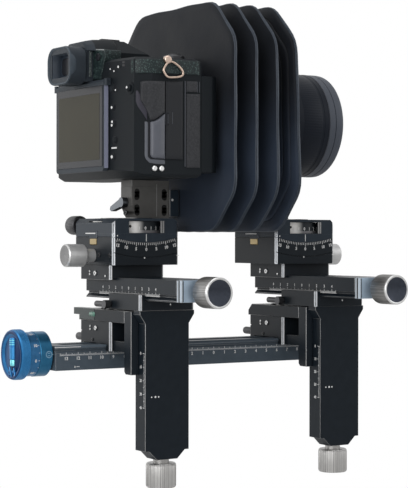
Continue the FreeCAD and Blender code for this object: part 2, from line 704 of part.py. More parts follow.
def bar_outline(clear):
    """Right half of the shift bar's dovetail in Y and Z, grown by a clearance, from the flange up."""
    half = BAR_WIDTH / 2
    flank_low = BAR_BOTTOM + BAR_FLANGE
    lean = clear * (math.sqrt(2) - 1)
    return [
        (half + clear, BAR_BOTTOM - clear), (half + clear, flank_low + lean),
        (half - BAR_FLANK + clear, flank_low + BAR_FLANK + lean),
    ]


def column_head():
    right = COLUMN_OUTER_FACE
    half = HEAD_WIDTH / 2
    head = chamfered_block(right - HEAD_LENGTH, right, -half, half, HEAD_BOTTOM, HEAD_TOP, CORNER)
    channel = bar_outline(GAP)
    channel = channel + [(channel[-1][0], HEAD_TOP + 1)]
    head = head.cut(prism(mirrored(channel), "x", right - HEAD_LENGTH - 1, right + 1))
    nut_half, nut_wide = SHIFT_NUT_LENGTH / 2, SHIFT_NUT_WIDTH / 2
    nut_top = SHIFT_SCREW_Z + SHIFT_SCREW_RADIUS + SHIFT_NUT_ROOF
    nut_low = BAR_BOTTOM - GAP - 1
    nut = box(HEAD_CENTRE_X - nut_half, HEAD_CENTRE_X + nut_half, -nut_wide, nut_wide, nut_low, nut_top)
    head = head.fuse(nut)
    head = head.cut(rod(SHIFT_SCREW_RADIUS + RUN, (HEAD_CENTRE_X - nut_half - 1, 0, SHIFT_SCREW_Z),
                        (HEAD_CENTRE_X + nut_half + 1, 0, SHIFT_SCREW_Z)))
    x, z = head_lever_place()
    seat = -half + HEAD_LEVER_SEAT + GAP
    return one_solid(head.cut(rod(LOCK_STEM_RADIUS + RUN, (x, -half - 1, z), (x, seat, z))))


def head_lever_place():
    """X and Z of the head lever's pivot on the rear face."""
    x = COLUMN_OUTER_FACE - HEAD_LENGTH + HEAD_LEVER_HUB + HEAD_LEVER_INSET
    return x, HEAD_BOTTOM + HEAD_LEVER_HUB + EDGE


def head_lever():
    x, z = head_lever_place()
    face = -HEAD_WIDTH / 2
    out = -max(HEAD_WIDTH, ARM_LENGTH) / 2 - GAP
    stem = rod(LOCK_STEM_RADIUS, (x, face + HEAD_LEVER_SEAT, z), (x, out, z))
    thick = 2 * HEAD_LEVER_RADIUS
    hub = rod(HEAD_LEVER_HUB, (x, out, z), (x, out - thick, z))
    middle = out - thick / 2
    handle = rod(HEAD_LEVER_RADIUS, (x, middle, z), (x - HEAD_LEVER_LENGTH, middle, z))
    end = [e for e in handle.Edges if e.Curve.TypeId == "Part::GeomCircle" and e.CenterOfMass.x < x - 1]
    return one_solid(stem.fuse([hub, handle.makeChamfer(EDGE, end)]))


def shift_bar():
    half = BAR_WIDTH / 2
    body_bottom = BAR_TOP - BAR_BODY_HEIGHT
    section = bar_outline(0)
    section = section + [(section[-1][0], body_bottom), (half, body_bottom), (half, BAR_TOP)]
    bar = prism(mirrored(section), "x", BAR_START, BAR_END)
    reach = SHIFT_TRAVEL + SHIFT_NUT_LENGTH / 2 + GAP
    side = SHIFT_NUT_WIDTH / 2 + GAP
    top = SHIFT_SCREW_Z + SHIFT_SCREW_RADIUS + SHIFT_NUT_ROOF + GAP
    bar = bar.cut(box(HEAD_CENTRE_X - reach, HEAD_CENTRE_X + reach, -side, side, BAR_BOTTOM - 1, top))
    left = HEAD_CENTRE_X - reach - BORE_TIP
    bore = rod(SHIFT_SCREW_RADIUS + RUN, (left, 0, SHIFT_SCREW_Z), (BAR_END + 1, 0, SHIFT_SCREW_Z))
    return one_solid(bar.cut(bore))


def shift_screw():
    left = HEAD_CENTRE_X - SHIFT_TRAVEL - SHIFT_NUT_LENGTH / 2 - BORE_TIP + 1.0
    seat = shift_knob_face() - SIDE_KNOB_LENGTH + SIDE_KNOB_SEAT
    return rod(SHIFT_SCREW_RADIUS, (left, 0, SHIFT_SCREW_Z), (seat, 0, SHIFT_SCREW_Z))


def shift_knob_face():
    """X of the shift knob's outer face."""
    return BAR_END + END_PLATE_THICKNESS + GAP + SHIFT_HUB_LENGTH + SIDE_KNOB_LENGTH


def shift_end_plate():
    half = BAR_WIDTH / 2
    plate = box(BAR_END, BAR_END + END_PLATE_THICKNESS, -half, half, BAR_BOTTOM, BAR_TOP)
    uprights = long_edges(plate, V(0, 0, 1), BAR_HEIGHT - 0.01)
    plate = plate.makeChamfer(END_PLATE_CORNER, uprights)
    return plate.cut(rod(SHIFT_SCREW_RADIUS + RUN, (BAR_END - 1, 0, SHIFT_SCREW_Z),
                         (BAR_END + END_PLATE_THICKNESS + 1, 0, SHIFT_SCREW_Z)))


def shift_knob():
    profile = side_knob(SHIFT_HUB_RADIUS, SHIFT_HUB_LENGTH, SHIFT_SCREW_RADIUS)
    return turned(profile, (shift_knob_face(), 0, SHIFT_SCREW_Z), (-1, 0, 0))


def shift_block():
    half, reach = BLOCK_WIDTH / 2, BLOCK_LENGTH / 2
    bottom = BAR_TOP - SHIFT_BLOCK_CHEEK
    block = chamfered_block(-half, half, -reach, reach, bottom, STAGE_BOTTOM, CORNER)
    side = BAR_WIDTH / 2
    left = max(BAR_START, -half) - GAP
    return block.cut(box(left - half, half + 1, -side, side, bottom - 1, BAR_TOP))


# Tilt and swing stage. Y is measured from the stage's middle, and face is -1 where the knobs
# point to the photographer and 1 where they point away.

def arc_prism(radius, z_end, half_length, start_x, end_x):
    """Solid above a round underside about the tilt axis, up to a flat top."""
    angle = math.asin(half_length / radius)
    z_side = OPTICAL_AXIS_Z - radius * math.cos(angle)
    low = V(start_x, 0, OPTICAL_AXIS_Z - radius)
    left, right = V(start_x, -half_length, z_side), V(start_x, half_length, z_side)
    arc = Part.Arc(left, low, right).toShape()
    top_left, top_right = V(start_x, -half_length, z_end), V(start_x, half_length, z_end)
    straight = Part.makePolygon([right, top_right, top_left, left])
    return Part.Face(Part.Wire([arc] + straight.Edges)).extrude(V(end_x - start_x, 0, 0))


def ring_about_tilt(inner, outer, x0, x1):
    axis = (x0, 0, OPTICAL_AXIS_Z)
    end = (x1, 0, OPTICAL_AXIS_Z)
    return rod(outer, axis, end).cut(rod(inner, axis, end))


def tilt_base(face):
    half, reach = STAGE_WIDTH / 2, STAGE_LENGTH / 2
    block = chamfered_block(-half, half, -reach, reach, STAGE_BOTTOM, ROCKER_TOP, CORNER)
    block = block.cut(rod(TILT_RADIUS + GAP, (-half - 1, 0, OPTICAL_AXIS_Z), (half + 1, 0, OPTICAL_AXIS_Z)))
    slot = RACK_WIDTH / 2 + GAP
    block = block.cut(rod(RACK_OUTER_RADIUS + GAP, (-slot, 0, OPTICAL_AXIS_Z), (slot, 0, OPTICAL_AXIS_Z)))
    pocket = WORM_LENGTH / 2 + GAP
    block = block.cut(rod(WORM_RADIUS + GAP, (0, -pocket, WORM_Z), (0, pocket, WORM_Z)))
    blind_end = -face * (reach - TILT_SHAFT_WALL)
    block = block.cut(rod(WORM_SHAFT_RADIUS + RUN, (0, face * (reach + 1), WORM_Z), (0, blind_end, WORM_Z)))
    inner, outer = PARTING_RADIUS, PARTING_RADIUS + PARTING_WIDTH
    for x0, x1 in ((-half - 1, -half + PARTING_DEPTH), (half - PARTING_DEPTH, half + 1)):
        block = block.cut(ring_about_tilt(inner, outer, x0, x1))
    return one_solid(block)


def tilt_rocker():
    half, reach = STAGE_WIDTH / 2, STAGE_LENGTH / 2
    rocker = arc_prism(TILT_RADIUS, ROCKER_TOP, reach, -half, half)
    corners = chamfered_block(-half, half, -reach, reach, ROCKER_TOP - HOUSING_HEIGHT, ROCKER_TOP, CORNER)
    rocker = rocker.common(corners)
    slot = RACK_WIDTH / 2
    return one_solid(rocker.cut(ring_about_tilt(RACK_INNER_RADIUS, RACK_OUTER_RADIUS, -slot, slot)))


def tilt_rack():
    half = RACK_WIDTH / 2
    ring = ring_about_tilt(RACK_INNER_RADIUS, RACK_OUTER_RADIUS, -half, half)
    lean = math.radians(RACK_HALF_ANGLE)
    side, drop = 2 * RACK_OUTER_RADIUS * math.sin(lean), 2 * RACK_OUTER_RADIUS * math.cos(lean)
    low = OPTICAL_AXIS_Z - drop
    wedge = prism([(0, OPTICAL_AXIS_Z), (-side, low), (side, low)], "x", -half - 1, half + 1)
    return ring.common(wedge)


def tilt_knob(face):
    reach = STAGE_LENGTH / 2
    blind_end = -face * (reach - TILT_SHAFT_WALL - GAP)
    shaft = rod(WORM_SHAFT_RADIUS, (0, blind_end, WORM_Z), (0, face * (reach + GAP + 1), WORM_Z))
    worm = rod(WORM_RADIUS, (0, -WORM_LENGTH / 2, WORM_Z), (0, WORM_LENGTH / 2, WORM_Z))
    r, long, edge = TILT_KNOB_RADIUS, TILT_KNOB_LENGTH, TILT_KNOB_EDGE
    collar, collar_end = TILT_COLLAR_RADIUS, TILT_KNOB_LENGTH + TILT_COLLAR_LENGTH
    profile = [
        (0, EDGE), (r - 2 * edge, 0), (r - edge, 0), (r, edge), (r, long - edge), (r - edge, long),
        (collar + edge, long), (collar, long + edge), (collar, collar_end), (0, collar_end),
    ]
    outer = face * (reach + GAP + TILT_COLLAR_LENGTH + long)
    knob = turned(profile, (0, outer, WORM_Z), (0, -face, 0))
    return one_solid(shaft.fuse([worm, knob]))


def swing_housing(face):
    half, reach = STAGE_WIDTH / 2, STAGE_LENGTH / 2
    block = chamfered_block(-half, half, -reach, reach, ROCKER_TOP, HOUSING_TOP, CORNER)
    low, inner = HOUSING_TOP - HOUSING_BEVEL - 1, reach - HOUSING_BEVEL - 1
    for side in (-1, 1):
        outer, high = side * (reach + 1), HOUSING_TOP + 1
        bevel = [(outer, low), (outer, high), (side * inner, high)]
        block = block.cut(prism(bevel, "x", -half - 1, half + 1))
    ceiling, wall = HOUSING_TOP - HOUSING_TOP_WALL, HOUSING_WALL
    sweep = rod(DIAL_RADIUS + GAP, (0, 0, ROCKER_TOP - 1), (0, 0, ceiling))
    inside = box(-half + wall, half - wall, -reach + wall, reach - wall, ROCKER_TOP - 1, ceiling)
    block = block.cut(sweep.common(inside))
    block = block.cut(rod(BOSS_RADIUS + GAP, (0, 0, ROCKER_TOP), (0, 0, HOUSING_TOP + 1)))
    window = WINDOW_WIDTH / 2
    for side in (-1, 1):
        near, far = sorted((side * (half - WINDOW_DEPTH), side * (half + 1)))
        block = block.cut(box(near, far, -window, window, ROCKER_TOP + WINDOW_SILL, ceiling))
    y = face * SWING_WORM_Y
    block = block.cut(rod(SWING_SHAFT_RADIUS + RUN, (-half - 1, y, SWING_SHAFT_Z), (0, y, SWING_SHAFT_Z)))
    return one_solid(block)


def turntable(face):
    floor = ROCKER_TOP + GAP
    dial = rod(DIAL_RADIUS, (0, 0, floor), (0, 0, DIAL_TOP))
    flat = STAGE_LENGTH / 2 - HOUSING_WALL - 2 * GAP
    for angle in (-SWING_TRAVEL, 0, SWING_TRAVEL):
        strip = box(-DIAL_RADIUS - 1, DIAL_RADIUS + 1, -flat, flat, floor - 1, DIAL_TOP + 1)
        strip.rotate(V(0, 0, 0), V(0, 0, 1), angle)
        dial = dial.common(strip)
    groove_low = SWING_SHAFT_Z - SWING_WORM_RADIUS - GAP
    dial = dial.cut(ring_about_swing(SWING_GEAR_RADIUS, DIAL_RADIUS - DIAL_WALL, groove_low, DIAL_TOP + 1))
    dial = dial.cut(worm_notch(face, groove_low))
    gear = rod(SWING_GEAR_RADIUS, (0, 0, floor), (0, 0, DIAL_TOP))
    boss = rod(BOSS_RADIUS, (0, 0, DIAL_TOP - EDGE), (0, 0, BOSS_TOP))
    return one_solid(dial.fuse([gear, boss]))


def ring_about_swing(inner, outer, low, high):
    return rod(outer, (0, 0, low), (0, 0, high)).cut(rod(inner, (0, 0, low), (0, 0, high)))


def worm_notch(face, low):
    """Gap in the dial's rim that the worm shaft passes through as the turntable swings."""
    middle = math.atan2(face * SWING_WORM_Y, -math.sqrt(DIAL_RADIUS ** 2 - SWING_WORM_Y ** 2))
    spread = math.radians(SWING_TRAVEL + NOTCH_MARGIN)
    far = DIAL_RADIUS * 2
    angles = [middle - spread, middle, middle + spread]
    points = [(0, 0)] + [(far * math.cos(a), far * math.sin(a)) for a in angles]
    wedge = prism(points, "z", low, DIAL_TOP + 1)
    return wedge.common(ring_about_swing(SWING_GEAR_RADIUS, DIAL_RADIUS + 1, low, DIAL_TOP + 1))


def swing_knob(face):
    y, z = face * SWING_WORM_Y, SWING_SHAFT_Z
    side, worm_end = -STAGE_WIDTH / 2, SWING_WORM_LENGTH / 2
    start = side - SWING_KNOB_STANDOFF
    shaft = rod(SWING_SHAFT_RADIUS, (start, y, z), (worm_end, y, z))
    worm = rod(SWING_WORM_RADIUS, (-worm_end, y, z), (worm_end, y, z))
    r, long, edge = SWING_KNOB_RADIUS, SWING_KNOB_LENGTH, 2 * EDGE
    profile = [
        (0, EDGE), (r - 2 * edge, 0), (r - edge, 0), (r, edge), (r, long - edge), (r - edge, long), (0, long),
    ]
    knob = turned(profile, (start - long, y, z), (1, 0, 0))
    hub = rod(SWING_SHAFT_RADIUS + SWING_HUB_WALL, (start, y, z), (side - GAP, y, z))
    return one_solid(shaft.fuse([worm, knob, hub]))


# Rear clamp and camera body. Y is measured from the rear stage's middle.

def riser_front():
    return RISER_LENGTH - RISER_SETBACK


def riser():
    half = RISER_WIDTH / 2
    top = BOSS_TOP + RISER_HEIGHT
    body = box(-half, half, -RISER_SETBACK, riser_front(), BOSS_TOP, top)
    body = body.makeChamfer(EDGE, long_edges(body, V(0, 0, 1), RISER_HEIGHT - 0.01))
    for y in (RISER_SLOT_WIDTH, riser_front() - RISER_SLOT_WIDTH):
        for z in (BOSS_TOP + RISER_SLOT_MARGIN, top - RISER_SLOT_MARGIN - RISER_SLOT_HEIGHT):
            body = body.cut(obround(y, z, half + 1))
    low, back = BOSS_TOP - 1, -RISER_SETBACK - 1
    taper = [(back, low), (back + RISER_TAPER_DEPTH + 1, low), (back, low + RISER_TAPER_HEIGHT + 1)]
    body = body.cut(prism(taper, "x", -half - 1, half + 1))
    rod_z = draw_rod_z()
    bore = rod(DRAW_ROD_RADIUS + RUN, (0, -RISER_SETBACK - 1, rod_z), (0, riser_front() + 1, rod_z))
    return one_solid(body.cut(bore))


def draw_rod_z():
    """Height of the rod that draws the jaw in, midway between the two rows of slots."""
    return BOSS_TOP + RISER_HEIGHT / 2


def obround(y, z, half):
    """Upright slot through the riser from side to side, its lower end at z."""
    r = RISER_SLOT_WIDTH / 2
    low, high = z + r, z + RISER_SLOT_HEIGHT - r
    ends = rod(r, (-half, y, low), (half, y, low)).fuse(rod(r, (-half, y, high), (half, y, high)))
    return ends.fuse(box(-half, half, y - r, y + r, low, high))


def clamp_jaw():
    half = RISER_WIDTH / 2
    start = riser_front() + GAP
    low = BOSS_TOP + JAW_RISE
    jaw = box(-half, half, start, start + JAW_LENGTH, low, low + JAW_HEIGHT)
    jaw = jaw.makeChamfer(EDGE, long_edges(jaw, V(0, 0, 1), JAW_HEIGHT - 0.01))
    rod_z = draw_rod_z()
    draw_rod = rod(DRAW_ROD_RADIUS, (0, DRAW_ROD_START, rod_z), (0, start + 1, rod_z))
    return one_solid(jaw.fuse(draw_rod))


def clamp_lever():
    z = draw_rod_z()
    back = -RISER_SETBACK - GAP
    hub = rod(LEVER_HUB_RADIUS, (0, back, z), (0, back - LEVER_THICKNESS, z))
    stem = rod(DRAW_ROD_RADIUS, (0, back - 1, z), (0, DRAW_ROD_START - GAP, z))
    near, far, tip = LEVER_HUB_RADIUS * 0.85, LEVER_HUB_RADIUS * 0.5, LEVER_LENGTH + LEVER_TIP
    outline = [(0, -near), (0, near), (-LEVER_LENGTH, far), (-tip, 0), (-LEVER_LENGTH, -far)]
    blade = prism(outline, "y", back - LEVER_THICKNESS, back)
    blade.rotate(V(0, 0, 0), V(0, 1, 0), -LEVER_DROP_ANGLE)
    blade.translate(V(0, 0, z))
    return one_solid(hub.fuse([stem, blade]))


def camera_plate():
    half = RISER_WIDTH / 2
    low = BOSS_TOP + RISER_HEIGHT
    plate = box(-half, half, -RISER_SETBACK, riser_front(), low, CAMERA_BASE)
    return plate.makeChamfer(EDGE, long_edges(plate, V(0, 0, 1), CAMERA_PLATE_THICKNESS - 0.01))


def camera_outline():
    """Plan of the camera body without its grip."""
    left, right, back, front = CAMERA_LEFT, CAMERA_RIGHT, -CAMERA_BACK, CAMERA_FRONT
    side, step = back + CAMERA_SIDE_STEP, CAMERA_CORNER_STEP
    left_end, right_end = left + CAMERA_LEFT_END, right - CAMERA_RIGHT_END
    return [
        (left_end, back + step), (left_end + CAMERA_LEFT_SLOPE, back), (right_end - CAMERA_RIGHT_SLOPE, back),
        (right_end, back + step * 0.7), (right, side), (right, front), (left + step, front),
        (left, front - step), (left, side),
    ]


def camera_grip():
    right, front = CAMERA_RIGHT, CAMERA_FRONT
    outline = [
        (right, front - 1), (right, front + GRIP_REACH * 0.6), (right - GRIP_WIDTH * 0.2, front + GRIP_REACH),
        (right - GRIP_WIDTH * 0.6, front + GRIP_REACH), (right - GRIP_WIDTH, front - 1),
    ]
    grip = prism(outline, "z", CAMERA_BASE + GRIP_FOOT, CAMERA_BASE + CAMERA_HEIGHT - GRIP_HEAD)
    return grip.makeFillet(GRIP_ROUNDING, long_edges(grip, V(0, 0, 1), CAMERA_HEIGHT / 2))


def camera_finder():
    """Finder hump with its sloping front, seen from behind and from the side."""
    top, half = CAMERA_BASE + CAMERA_HEIGHT, FINDER_WIDTH / 2
    high, low = top + FINDER_RISE, top - FINDER_SKIRT
    front = CAMERA_FRONT - 2 * CAMERA_RIM
    hump = mirrored([(half, low), (half, top + FINDER_RISE * 0.45), (half * 0.62, high)])
    slope = [
        (-CAMERA_BACK, low - 1), (-CAMERA_BACK, high - FINDER_BEVEL), (-CAMERA_BACK + CAMERA_CORNER_STEP, high),
        (-CAMERA_BACK + FINDER_FLAT, high), (front, top + FINDER_NOSE), (front, low - 1),
    ]
    return prism(hump, "y", -CAMERA_BACK, front).common(prism(slope, "x", -half - 1, half + 1))


def camera_eyecup():
    """Eyecup with its recess, on the neck that carries it behind the finder."""
    z, back = CAMERA_BASE + CAMERA_HEIGHT - EYECUP_DROP, -CAMERA_BACK - FINDER_OVERHANG
    wide, high, end = EYECUP_WIDTH / 2, EYECUP_HEIGHT / 2, back - EYECUP_LENGTH
    cup = box(-wide, wide, end, back, z - high, z + high)
    cup = cup.makeFillet(EYECUP_HEIGHT * 0.3, long_edges(cup, V(0, 1, 0), EYECUP_LENGTH - 0.01))
    eye_wide, eye_high = wide - EYECUP_LIP, high - EYECUP_LIP
    cup = cup.cut(box(-eye_wide, eye_wide, end - 1, end + EYECUP_DEPTH, z - eye_high, z + eye_high))
    neck_wide, neck_high = wide - NECK_INSET, high - NECK_INSET
    return cup.fuse(box(-neck_wide, neck_wide, back, -CAMERA_BACK + BORE_TIP, z - neck_high, z + neck_high))


def camera_body():
    body = prism(camera_outline(), "z", CAMERA_BASE, CAMERA_BASE + CAMERA_HEIGHT)
    rims = [e for e in body.Edges if abs(e.Vertexes[0].Z - e.Vertexes[1].Z) < 1e-6]
    body = body.makeChamfer(CAMERA_RIM, rims)
    heel = [(-CAMERA_BACK - 1, CAMERA_BASE - 1), (-CAMERA_BACK + HEEL_DEPTH, CAMERA_BASE - 1),
            (-CAMERA_BACK - 1, CAMERA_BASE + HEEL_RISE)]
    body = body.cut(prism(heel, "x", CAMERA_LEFT - 1, CAMERA_RIGHT + 1))
    front, mount_end = CAMERA_FRONT - 1, CAMERA_FRONT + CAMERA_MOUNT_LENGTH
    mount = rod(CAMERA_MOUNT_RADIUS, (0, front, OPTICAL_AXIS_Z), (0, mount_end, OPTICAL_AXIS_Z))
    bottom = (0, CAMERA_FRONT - MOUNT_WELL_DEPTH, OPTICAL_AXIS_Z)
    well = rod(CAMERA_MOUNT_RADIUS - MOUNT_RING_WIDTH, bottom, (0, mount_end + 1, OPTICAL_AXIS_Z))
    body = body.fuse([camera_finder(), camera_eyecup(), camera_grip(), mount]).cut(well)
    middle, pin_z = screen_place()
    pin_y = screen_pin_y()
    low, high = pin_z - SCREEN_EAR_HALF, pin_z + SCREEN_EAR_HALF
    for end in (-1, 1):
        near = middle + end * (SCREEN_WIDTH / 2 + SCREEN_EAR_GAP)
        near, far = sorted((near, near + end * SCREEN_EAR_WIDTH))
        body = body.fuse(box(near, far, -CAMERA_BACK - SCREEN_THICKNESS, -CAMERA_BACK + 1, low, high))
        body = body.cut(rod(SCREEN_PIN_RADIUS + RUN, (near - 1, pin_y, pin_z), (far + 1, pin_y, pin_z)))
    return one_solid(body)


def screen_place():
    """X of the screen's middle and Z of its hinge pins."""
    return SCREEN_OFFSET, CAMERA_BASE + SCREEN_ABOVE_BASE + SCREEN_HEIGHT - SCREEN_THICKNESS / 2


def screen_pin_y():
    return -CAMERA_BACK - GAP - SCREEN_THICKNESS / 2


def camera_screen():
    x, pin_z = screen_place()
    half = SCREEN_WIDTH / 2
    back = -CAMERA_BACK - GAP
    low = CAMERA_BASE + SCREEN_ABOVE_BASE
    panel = box(x - half, x + half, back - SCREEN_THICKNESS, back, low, low + SCREEN_HEIGHT)
    upper = [e for e in long_edges(panel, V(1, 0, 0), SCREEN_WIDTH - 0.01) if e.CenterOfMass.z > low + 1]
    panel = panel.makeChamfer(SCREEN_THICKNESS * 0.4, upper)
    panel = panel.makeFillet(SCREEN_CORNER, long_edges(panel, V(0, 1, 0), SCREEN_THICKNESS - 0.01)[:2])
    reach = half + SCREEN_EAR_GAP + SCREEN_EAR_WIDTH - EDGE
    pin = rod(SCREEN_PIN_RADIUS, (x - reach, screen_pin_y(), pin_z), (x + reach, screen_pin_y(), pin_z))
    return one_solid(panel.fuse(pin))


# Bellows and lens. Y is in the object's own frame.

def octagon(half, corner, y, hang, lean):
    """Ring with cut corners across the axis. With hang 1 it is taller and sags; its top leans back."""
    z = OPTICAL_AXIS_Z
    high, low = half + hang * BELLOWS_RISE, half + hang * BELLOWS_SAG
    inner, lower = half - corner, half - corner - hang * BELLOWS_SAG / 2
    around = [
        (inner, high), (half, inner), (half, -inner), (lower, -low),
        (-lower, -low), (-half, -inner), (-half, inner), (-inner, high),
    ]
    points = [V(a, y - lean * b / half, z + b) for a, b in around]
    return Part.makePolygon(points + points[:1])


def bellows_rings(rear, front):
    """Outer and inner rings from the camera to the lens board: half size, corner, Y, hang and lean."""
    frame = rear + REAR_FRAME_LENGTH
    first = frame + REAR_PANEL_LENGTH
    skin, mouth, mouth_corner = BELLOWS_SKIN, BELLOWS_MOUTH, BELLOWS_MOUTH_CORNER
    outer = [(mouth, mouth_corner, rear, 0, 0), (mouth, mouth_corner, frame, 0, 0)]
    inner = [(mouth - skin, mouth_corner, rear - 1, 0, 0), (mouth - skin, mouth_corner, frame + skin, 0, 0)]
    rim = BELLOWS_RIM / 2
    pitch = (front - FRONT_PANEL_LENGTH - first) / (BELLOWS_PLEATS - 1)
    for n in range(BELLOWS_PLEATS):
        y = first + n * pitch
        lean = BELLOWS_LEAN * (n / (BELLOWS_PLEATS - 1)) ** 2
        for side in (-1, 1):
            corner, floor = BELLOWS_RIDGE_CORNER, BELLOWS_RIDGE - BELLOWS_FOLD
            outer.append((BELLOWS_RIDGE, corner, y + side * rim, 1, lean))
            inner.append((floor, corner, y + side * (rim - skin), 1, lean))
        if n < BELLOWS_PLEATS - 1:
            middle = y + pitch / 2
            valley, corner = BELLOWS_VALLEY, BELLOWS_VALLEY_CORNER
            outer.append((valley, corner, middle, 0.5, lean))
            for side in (-skin, skin):
                inner.append((valley - skin, corner, middle + side, 0.5, lean))
    outer.append((mouth, mouth_corner, front, 0, 0))
    inner.append((mouth - skin, mouth_corner, front + 1, 0, 0))
    return outer, inner


def bellows(rear, front):
    outer, inner = bellows_rings(rear, front)
    skin = Part.makeLoft([octagon(*ring) for ring in outer], True, True)
    return skin.cut(Part.makeLoft([octagon(*ring) for ring in inner], True, True))


def lens_board(y):
    half = BOARD_HALF
    board = box(-half, half, y, y + BOARD_THICKNESS, OPTICAL_AXIS_Z - half, OPTICAL_AXIS_Z + half)
    board = board.makeChamfer(BOARD_CORNER, long_edges(board, V(0, 1, 0), BOARD_THICKNESS - 0.01))
    hole_radius, through = LENS_MOUNT_RADIUS - LENS_MOUNT_WALL, y + BOARD_THICKNESS + 1
    hole = rod(hole_radius, (0, y - 1, OPTICAL_AXIS_Z), (0, through, OPTICAL_AXIS_Z))
    return board.cut(hole)


def lens_bracket(stage_y, board_front):
    half = BRACKET_WIDTH / 2
    top = OPTICAL_AXIS_Z - LENS_RADIUS - BRACKET_LENS_GAP
    upright = box(-half, half, board_front, board_front + BRACKET_THICKNESS, BOSS_TOP, top)
    foot_end = stage_y - BRACKET_FOOT_SETBACK
    foot = box(-half, half, board_front, foot_end, BOSS_TOP, BOSS_TOP + BRACKET_THICKNESS)
    return one_solid(upright.fuse(foot))


def lens_barrel(start):
    """Barrel turned about the optical axis, from its mount at 0 to the filter thread."""
    mount, long = LENS_MOUNT_LENGTH, LENS_MOUNT_LENGTH + LENS_LENGTH
    inner = LENS_MOUNT_RADIUS - LENS_MOUNT_WALL
    r, groove, cut = LENS_RADIUS, LENS_GROOVE, long - LENS_GROOVE_SETBACK
    seat, step = long - LENS_THREAD_LENGTH, mount + LENS_STEP
    profile = [
        (inner, 0), (LENS_MOUNT_RADIUS, 0), (LENS_MOUNT_RADIUS, mount), (r - LENS_SHOULDER, mount),
        (r, mount + LENS_SHOULDER), (r, cut - 3 * groove), (r - groove, cut - 2 * groove),
        (r - groove, cut - groove), (r, cut), (r, long - LENS_RIM), (r - LENS_RIM, long),
        (LENS_THREAD_RADIUS, long), (LENS_THREAD_RADIUS, seat), (LENS_BORE_RADIUS, seat),
        (LENS_BORE_RADIUS, step), (inner, step),
    ]
    return turned(profile, (0, start, OPTICAL_AXIS_Z), (0, 1, 0))


def lens_glass(start):
    """Front element: a lens with a domed front face, seated in the barrel's bore."""
    end = start + LENS_MOUNT_LENGTH + LENS_LENGTH - LENS_THREAD_LENGTH
    r = LENS_BORE_RADIUS - RUN
    bulge = (r ** 2 + GLASS_RISE ** 2) / (2 * GLASS_RISE)
    disc = rod(r, (0, end - GLASS_THICKNESS, OPTICAL_AXIS_Z), (0, end, OPTICAL_AXIS_Z))
    centre = V(0, end - bulge, OPTICAL_AXIS_Z)
    return disc.common(Part.makeSphere(bulge, centre))


def standard(name, y, face, driven):
    """All sub-parts of one standard. Returns the Y of its stage's middle."""
    pieces = {
        "carriage": carriage(driven),
        "carriage_lock": carriage_lock(),
        "arm": arm(driven),
        "lift_guide": lift_guide(),
        "column": column(),
        "lift_screw": lift_screw(),
        "lift_knob": lift_knob(),
        "column_head": column_head(),
        "head_lever": head_lever(),
        "shift_bar": shift_bar(),
        "shift_screw": shift_screw(),
        "shift_end_plate": shift_end_plate(),
        "shift_knob": shift_knob(),
        "shift_block": shift_block(),
    }
    stage = {
        "tilt_base": tilt_base(face),
        "tilt_rocker": tilt_rocker(),
        "tilt_rack": tilt_rack(),
        "tilt_knob": tilt_knob(face),
        "swing_housing": swing_housing(face),
        "turntable": turntable(face),
        "swing_knob": swing_knob(face),
    }
    stage_y = y - face * STAGE_OFFSET - STAGE_SETBACK
    for part_name, shape in pieces.items():
        write(name + "_" + part_name, moved(shape, y))
    for part_name, shape in stage.items():
        write(name + "_" + part_name, moved(shape, stage_y))
    return stage_y


def build():
    os.makedirs("parts", exist_ok=True)
    write("rail_beam", rail_beam())
    write("focus_collar", focus_collar())
    write("focus_dial", focus_dial())
    write("focus_screw", focus_screw())
    write("focus_knob", focus_knob())
    write("focus_crank", focus_crank())
    rear_y = STANDARDS_MIDDLE - STANDARD_SPACING / 2
    front_y = STANDARDS_MIDDLE + STANDARD_SPACING / 2
    rear_stage = standard("rear", rear_y, -1, True)
    front_stage = standard("front", front_y, 1, False)
    write("spirit_level", moved(spirit_level(), rear_y))
    write("camera_riser", moved(riser(), rear_stage))
    write("clamp_jaw", moved(clamp_jaw(), rear_stage))
    write("clamp_lever", moved(clamp_lever(), rear_stage))
    write("camera_plate", moved(camera_plate(), rear_stage))
    write("camera_body", moved(camera_body(), rear_stage))
    write("camera_screen", moved(camera_screen(), rear_stage))
    board_y = front_stage - BOARD_SETBACK
    write("bellows", bellows(rear_stage + CAMERA_FRONT + CAMERA_MOUNT_LENGTH, board_y))
    write("lens_board", lens_board(board_y))
    board_front = board_y + BOARD_THICKNESS
    write("lens_bracket", lens_bracket(front_stage, board_front))
    write("lens_barrel", lens_barrel(board_front))
    write("lens_glass", lens_glass(board_front))


build()
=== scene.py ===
import math

import bmesh
import bpy
from mathutils import Matrix, Vector


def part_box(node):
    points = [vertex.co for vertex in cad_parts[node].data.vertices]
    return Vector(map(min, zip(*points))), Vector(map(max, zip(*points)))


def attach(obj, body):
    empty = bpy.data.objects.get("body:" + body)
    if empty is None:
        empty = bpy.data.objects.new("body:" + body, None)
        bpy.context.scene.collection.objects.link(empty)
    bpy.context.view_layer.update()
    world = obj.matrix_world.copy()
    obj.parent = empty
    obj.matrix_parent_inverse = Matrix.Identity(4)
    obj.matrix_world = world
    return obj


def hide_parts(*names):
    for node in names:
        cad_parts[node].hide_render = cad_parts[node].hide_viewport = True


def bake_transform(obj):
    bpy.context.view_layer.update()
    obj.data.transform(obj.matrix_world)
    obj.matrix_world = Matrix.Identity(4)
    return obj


# Looks for the view camera adapter: two standards on a rail, a digital camera body behind, a lens in
# front and pleated bellows between them. X is the photographer's right, Y points along the lens.
# Sizes and places are in millimetres, in the frame's own axes, unless a name says otherwise.

